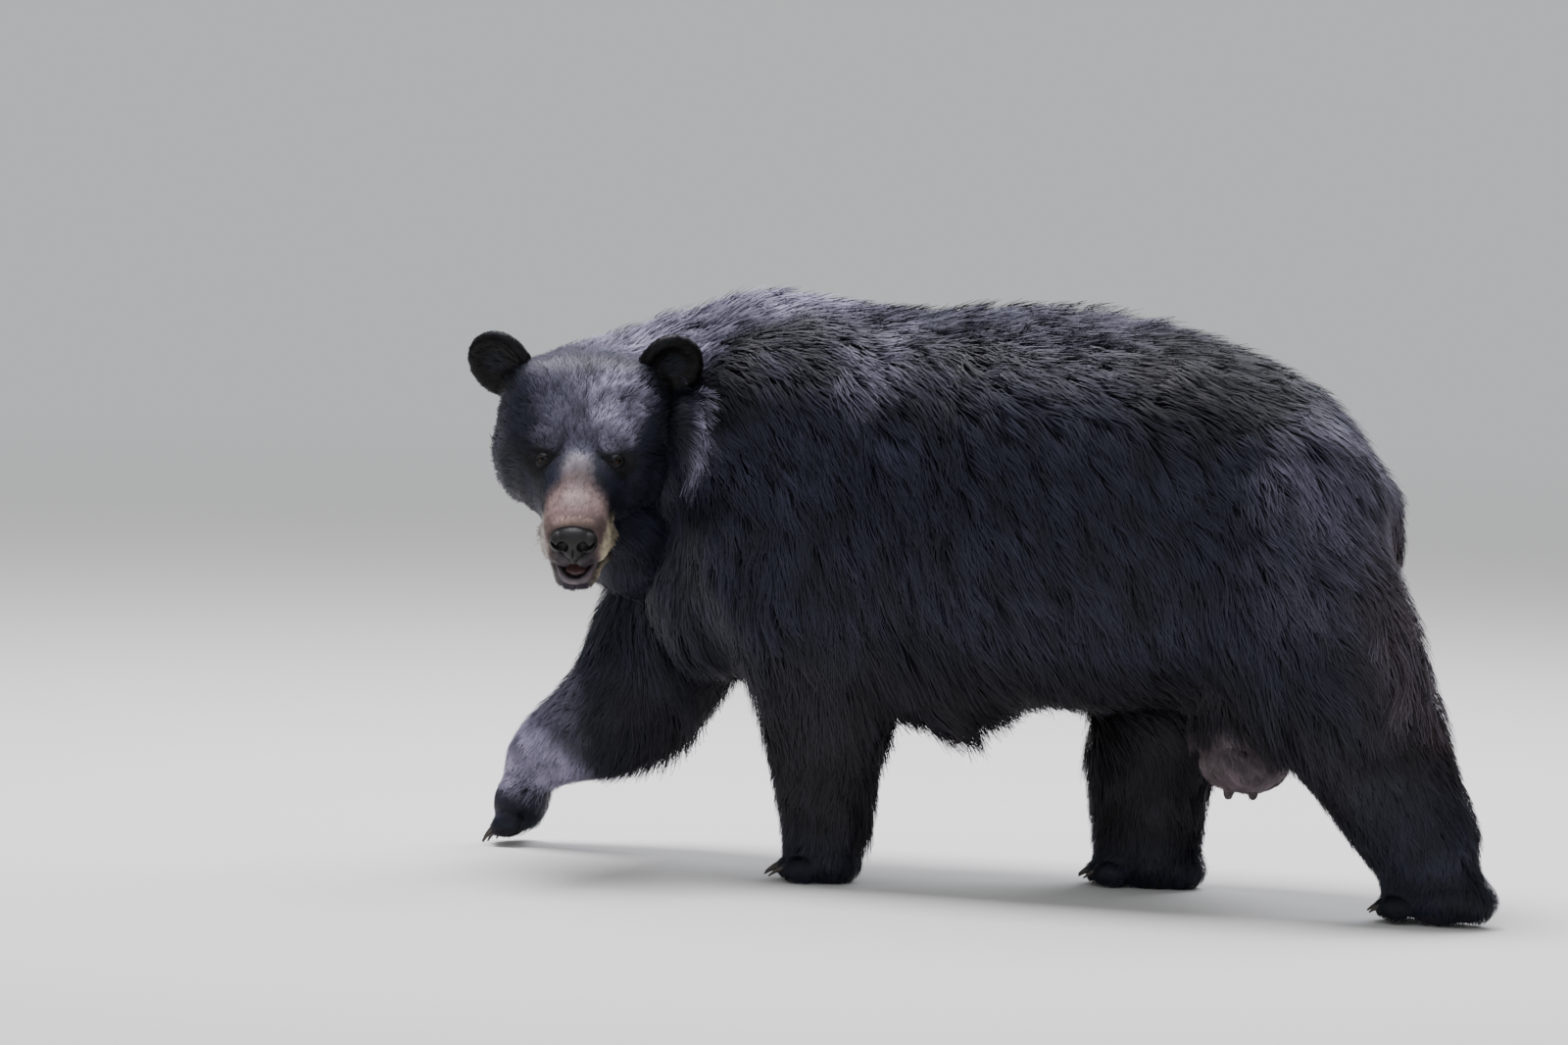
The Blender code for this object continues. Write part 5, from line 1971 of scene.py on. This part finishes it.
# ---- pieces of their own
@dataclass
class Eyeballs:
    """Two dark eyes with a slight swell of the cornea."""

    hide: Hide
    iris: float = 0.0066
    look: Vector = field(default_factory=lambda: Vector((0.86, 0.24, 0.45)).normalized())

    def build(self) -> list[Part]:
        """The two eyeballs, each replacing its solid in the frame.

        Returns:
            The eyeballs.
        """
        made = []
        finish = WET_EYE.build()
        for name, sign in (("eye_left", 1), ("eye_right", -1)):
            axes = self.hide.eye_axes(sign)
            ball = ellipsoid(f"{name}ball", (0, 0, 0), [self.hide.eye_radius] * 3, frame=axes, rings=48)
            look = self.hide.frame.to_3x3() @ Vector((self.look.x, sign * self.look.y, self.look.z))
            way = unit(places(ball.data) - np.array(axes.translation))
            ahead = way @ np.array(look)
            off = self.hide.eye_radius * np.arccos(np.clip(ahead, -1, 1))
            swell = 0.0006 * (1 - smoothstep(0, 1.15 * self.iris, off))
            move_to(ball.data, places(ball.data) + way * swell[:, None])
            store(ball.data, "disc", "FLOAT", np.minimum(off / self.iris, 1.6) / 1.6)
            ball.data.shade_smooth()
            ball.data.materials.append(finish)
            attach(ball, BODY)
            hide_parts(name)
            made.append(ball)
        return made


@dataclass
class NoseLeather:
    """The bare nose with its two nostrils, in the head's axes."""

    frame: Matrix

    def build(self) -> Part:
        """The nose, which replaces the frame's rounded one.

        Returns:
            The nose.
        """
        frame = self.frame
        masses = [ellipsoid(name, at, radii, (0, tilt, 0), frame) for name, at, radii, tilt in (
            ("pad", (0.193, 0, -0.0385), (0.0165, 0.0255, 0.0175), -22),
            ("bridge", (0.188, 0, -0.031), (0.015, 0.026, 0.011), 8),
            ("tip", (0.1985, 0, -0.052), (0.0105, 0.0135, 0.012), 0),
            ("philtrum", (0.1975, 0, -0.061), (0.007, 0.006, 0.011), 0))]
        for sign in SIDES:
            masses.append(ellipsoid("wing", (0.194, sign * 0.0185, -0.0415), (0.0135, 0.0112, 0.015),
                                    (0, 0, sign * 10), frame))
        nose = fused("nose_leather", masses, 0.001, 6)
        for sign in SIDES:
            for name, at, radii, lift, turn in (
                    ("nostril", (0.21, 0.0132, -0.0432), (0.013, 0.0078, 0.0086), 14, 12),
                    ("slit", (0.204, 0.022, -0.0425), (0.008, 0.008, 0.0026), 32, 30)):
                place = (at[0], sign * at[1], at[2])
                cut = ellipsoid(name, place, radii, (sign * lift, 0, sign * turn), frame)
                combined(nose, "DIFFERENCE", cut)
        groove = ellipsoid("groove", (0.2085, 0, -0.057), (0.005, 0.0011, 0.015), frame=frame)
        combined(nose, "DIFFERENCE", groove)
        made = fused("nose_leather", [nose], 0.00085, 2)
        made.data.shade_smooth()
        made.data.materials.append(NOSE_LEATHER.build())
        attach(made, BODY)
        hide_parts("nose")
        return made


@dataclass
class Tongue:
    """The tongue, lying between the lower lips."""

    frame: Matrix

    def build(self) -> Part:
        """A flat, blunt tongue with a groove along its middle.

        Returns:
            The tongue.
        """
        rows = ((0.08, -0.078, 0.017, 0.008), (0.115, -0.085, 0.018, 0.007),
                (0.148, -0.0925, 0.0165, 0.0055), (0.169, -0.097, 0.013, 0.0042))
        rings = [Ring(Vector((f, 0, u)), w, h) for f, u, w, h in rows]
        made = loft("tongue", rings, bulge=0.9, frame=self.frame, sides=40, steps=8)
        own = into(self.frame, places(made.data))
        dip = 0.0018 * np.exp(-(own[:, 1] / 0.003) ** 2)
        up = np.array(self.frame.to_3x3() @ Z)
        move_to(made.data, places(made.data) - up * dip[:, None])
        made.data.shade_smooth()
        made.data.materials.append(TONGUE_FLESH.build())
        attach(made, BODY)
        return made


def build_claws() -> list[Part]:
    """The claws of all four paws.

    Returns:
        The claws of each paw.
    """
    finish = CLAW_HORN.build()
    made = []
    for paw in PAWS:
        claws = paw.claws()
        claws.data.shade_smooth()
        claws.data.materials.append(finish)
        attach(claws, BODY)
        made.append(claws)
    return made


# ---- the studio
@dataclass(frozen=True)
class Lamp:
    """A soft square light that points at the bear."""

    name: str
    at: tuple[float, float, float]
    size: float
    watts: float
    colour: str = "#ffffff"


@dataclass
class Studio:
    """Pale floor, soft lights and the camera."""

    aim: Vector = field(default_factory=lambda: Vector((-0.033, -0.26, 0.446)))
    azimuth: float = 106.9
    elevation: float = 4.4
    distance: float = 10.0
    roll: float = 1.8
    lens: float = 181.6
    backdrop: str = "#dcdee0"
    glow: float = 0.8
    lamps: tuple[Lamp, ...] = (
        Lamp("key", (-0.2, -0.9, 4.0), 1.6, 320, "#f8f5ff"),
        Lamp("fill", (4.6, 1.2, 1.8), 3.0, 50, "#e8f0ff"),
        Lamp("back", (-2.4, 0.9, 3.4), 2.4, 150, "#f0f3ff"),
    )

    def build(self) -> None:
        """Sets up the stage."""
        work = bmesh.new()
        bmesh.ops.create_circle(work, cap_ends=True, segments=96, radius=150)
        floor = made_of("floor", work)
        floor.data.materials.append(self.floor_paint())
        for lamp in self.lamps:
            light = bpy.data.lights.new(lamp.name, "AREA")
            light.size = lamp.size
            light.energy = lamp.watts
            light.color = linear(lamp.colour)[:3]
            holder = new_object(lamp.name, light)
            holder.location = lamp.at
            toward = Vector((self.aim.x, 0, 0.4)) - Vector(lamp.at)
            holder.rotation_euler = toward.to_track_quat("-Z", "Y").to_euler()
            holder.visible_camera = False
        world = bpy.data.worlds.new("studio")
        bpy.context.scene.world = world
        world.use_nodes = True
        feed(world.node_tree.nodes["Background"], {"Color": linear(self.backdrop), "Strength": self.glow})
        self.camera()

    def floor_paint(self) -> Material:
        """Matt pale paint that runs into the even light of the backdrop, so that no horizon shows.

        Returns:
            The material.
        """
        made, tree, shader = Finish("pale_floor", roughness=0.9, specular=0.1).start()
        feed(shader, {"Base Color": linear("#d6d4d0")})
        place = out(add_node(tree, "ShaderNodeTexCoord"), "Object")
        fade = add_node(
            tree, "ShaderNodeMapRange", {"Value": place.then("LENGTH"), "From Min": 2.5, "From Max": 9.0},
            interpolation_type="SMOOTHSTEP")
        light = add_node(tree, "ShaderNodeEmission", {"Color": linear(self.backdrop), "Strength": self.glow})
        mixed = add_node(tree, "ShaderNodeMixShader", {0: out(fade, "Result"), 1: out(shader), 2: out(light)})
        feed(tree.nodes["Material Output"], {"Surface": out(mixed)})
        return made

    def camera(self) -> None:
        """A long lens, low beside the bear and a little behind her shoulder."""
        lens = bpy.data.cameras.new("camera")
        lens.lens = self.lens
        lens.sensor_width = 36
        lens.clip_end = 400
        holder = new_object("camera", lens)
        turn, tilt = math.radians(self.azimuth), math.radians(self.elevation)
        away = Vector((math.sin(turn) * math.cos(tilt), -math.cos(turn) * math.cos(tilt), math.sin(tilt)))
        look = (-away).to_track_quat("-Z", "Y").to_matrix() @ Matrix.Rotation(math.radians(self.roll), 3, "Z")
        holder.matrix_world = Matrix.Translation(self.aim + away * self.distance) @ look.to_4x4()
        bpy.context.scene.camera = holder


# ---- main
def main() -> None:
    """Builds every piece in order and reports it."""
    logging.basicConfig(level=logging.INFO, format="%(asctime)s %(message)s")
    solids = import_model()["nodes"]
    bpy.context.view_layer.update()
    frame = head_axes()
    comb = Comb([*head_strokes(frame), *trunk_strokes(), *neck_strokes(frame), *limb_strokes()])
    head = HeadForm(frame)
    hide = Hide(frame, comb, head, solids)
    skin = hide.build()
    skin.data.calc_loop_triangles()
    LOG.info("skin: %d triangles", len(skin.data.loop_triangles))
    coat = Coat(skin, frame, solids, GUARD_HAIR.build()).build()
    skin.data.materials.append(BEAR_SKIN.build())
    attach(skin, BODY)
    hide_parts(*FLESH)
    for piece in coat:
        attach(piece, BODY)
    Eyeballs(hide).build()
    NoseLeather(frame).build()
    Tongue(frame).build()
    build_claws()
    Studio().build()


if __name__ == "__main__":
    main()
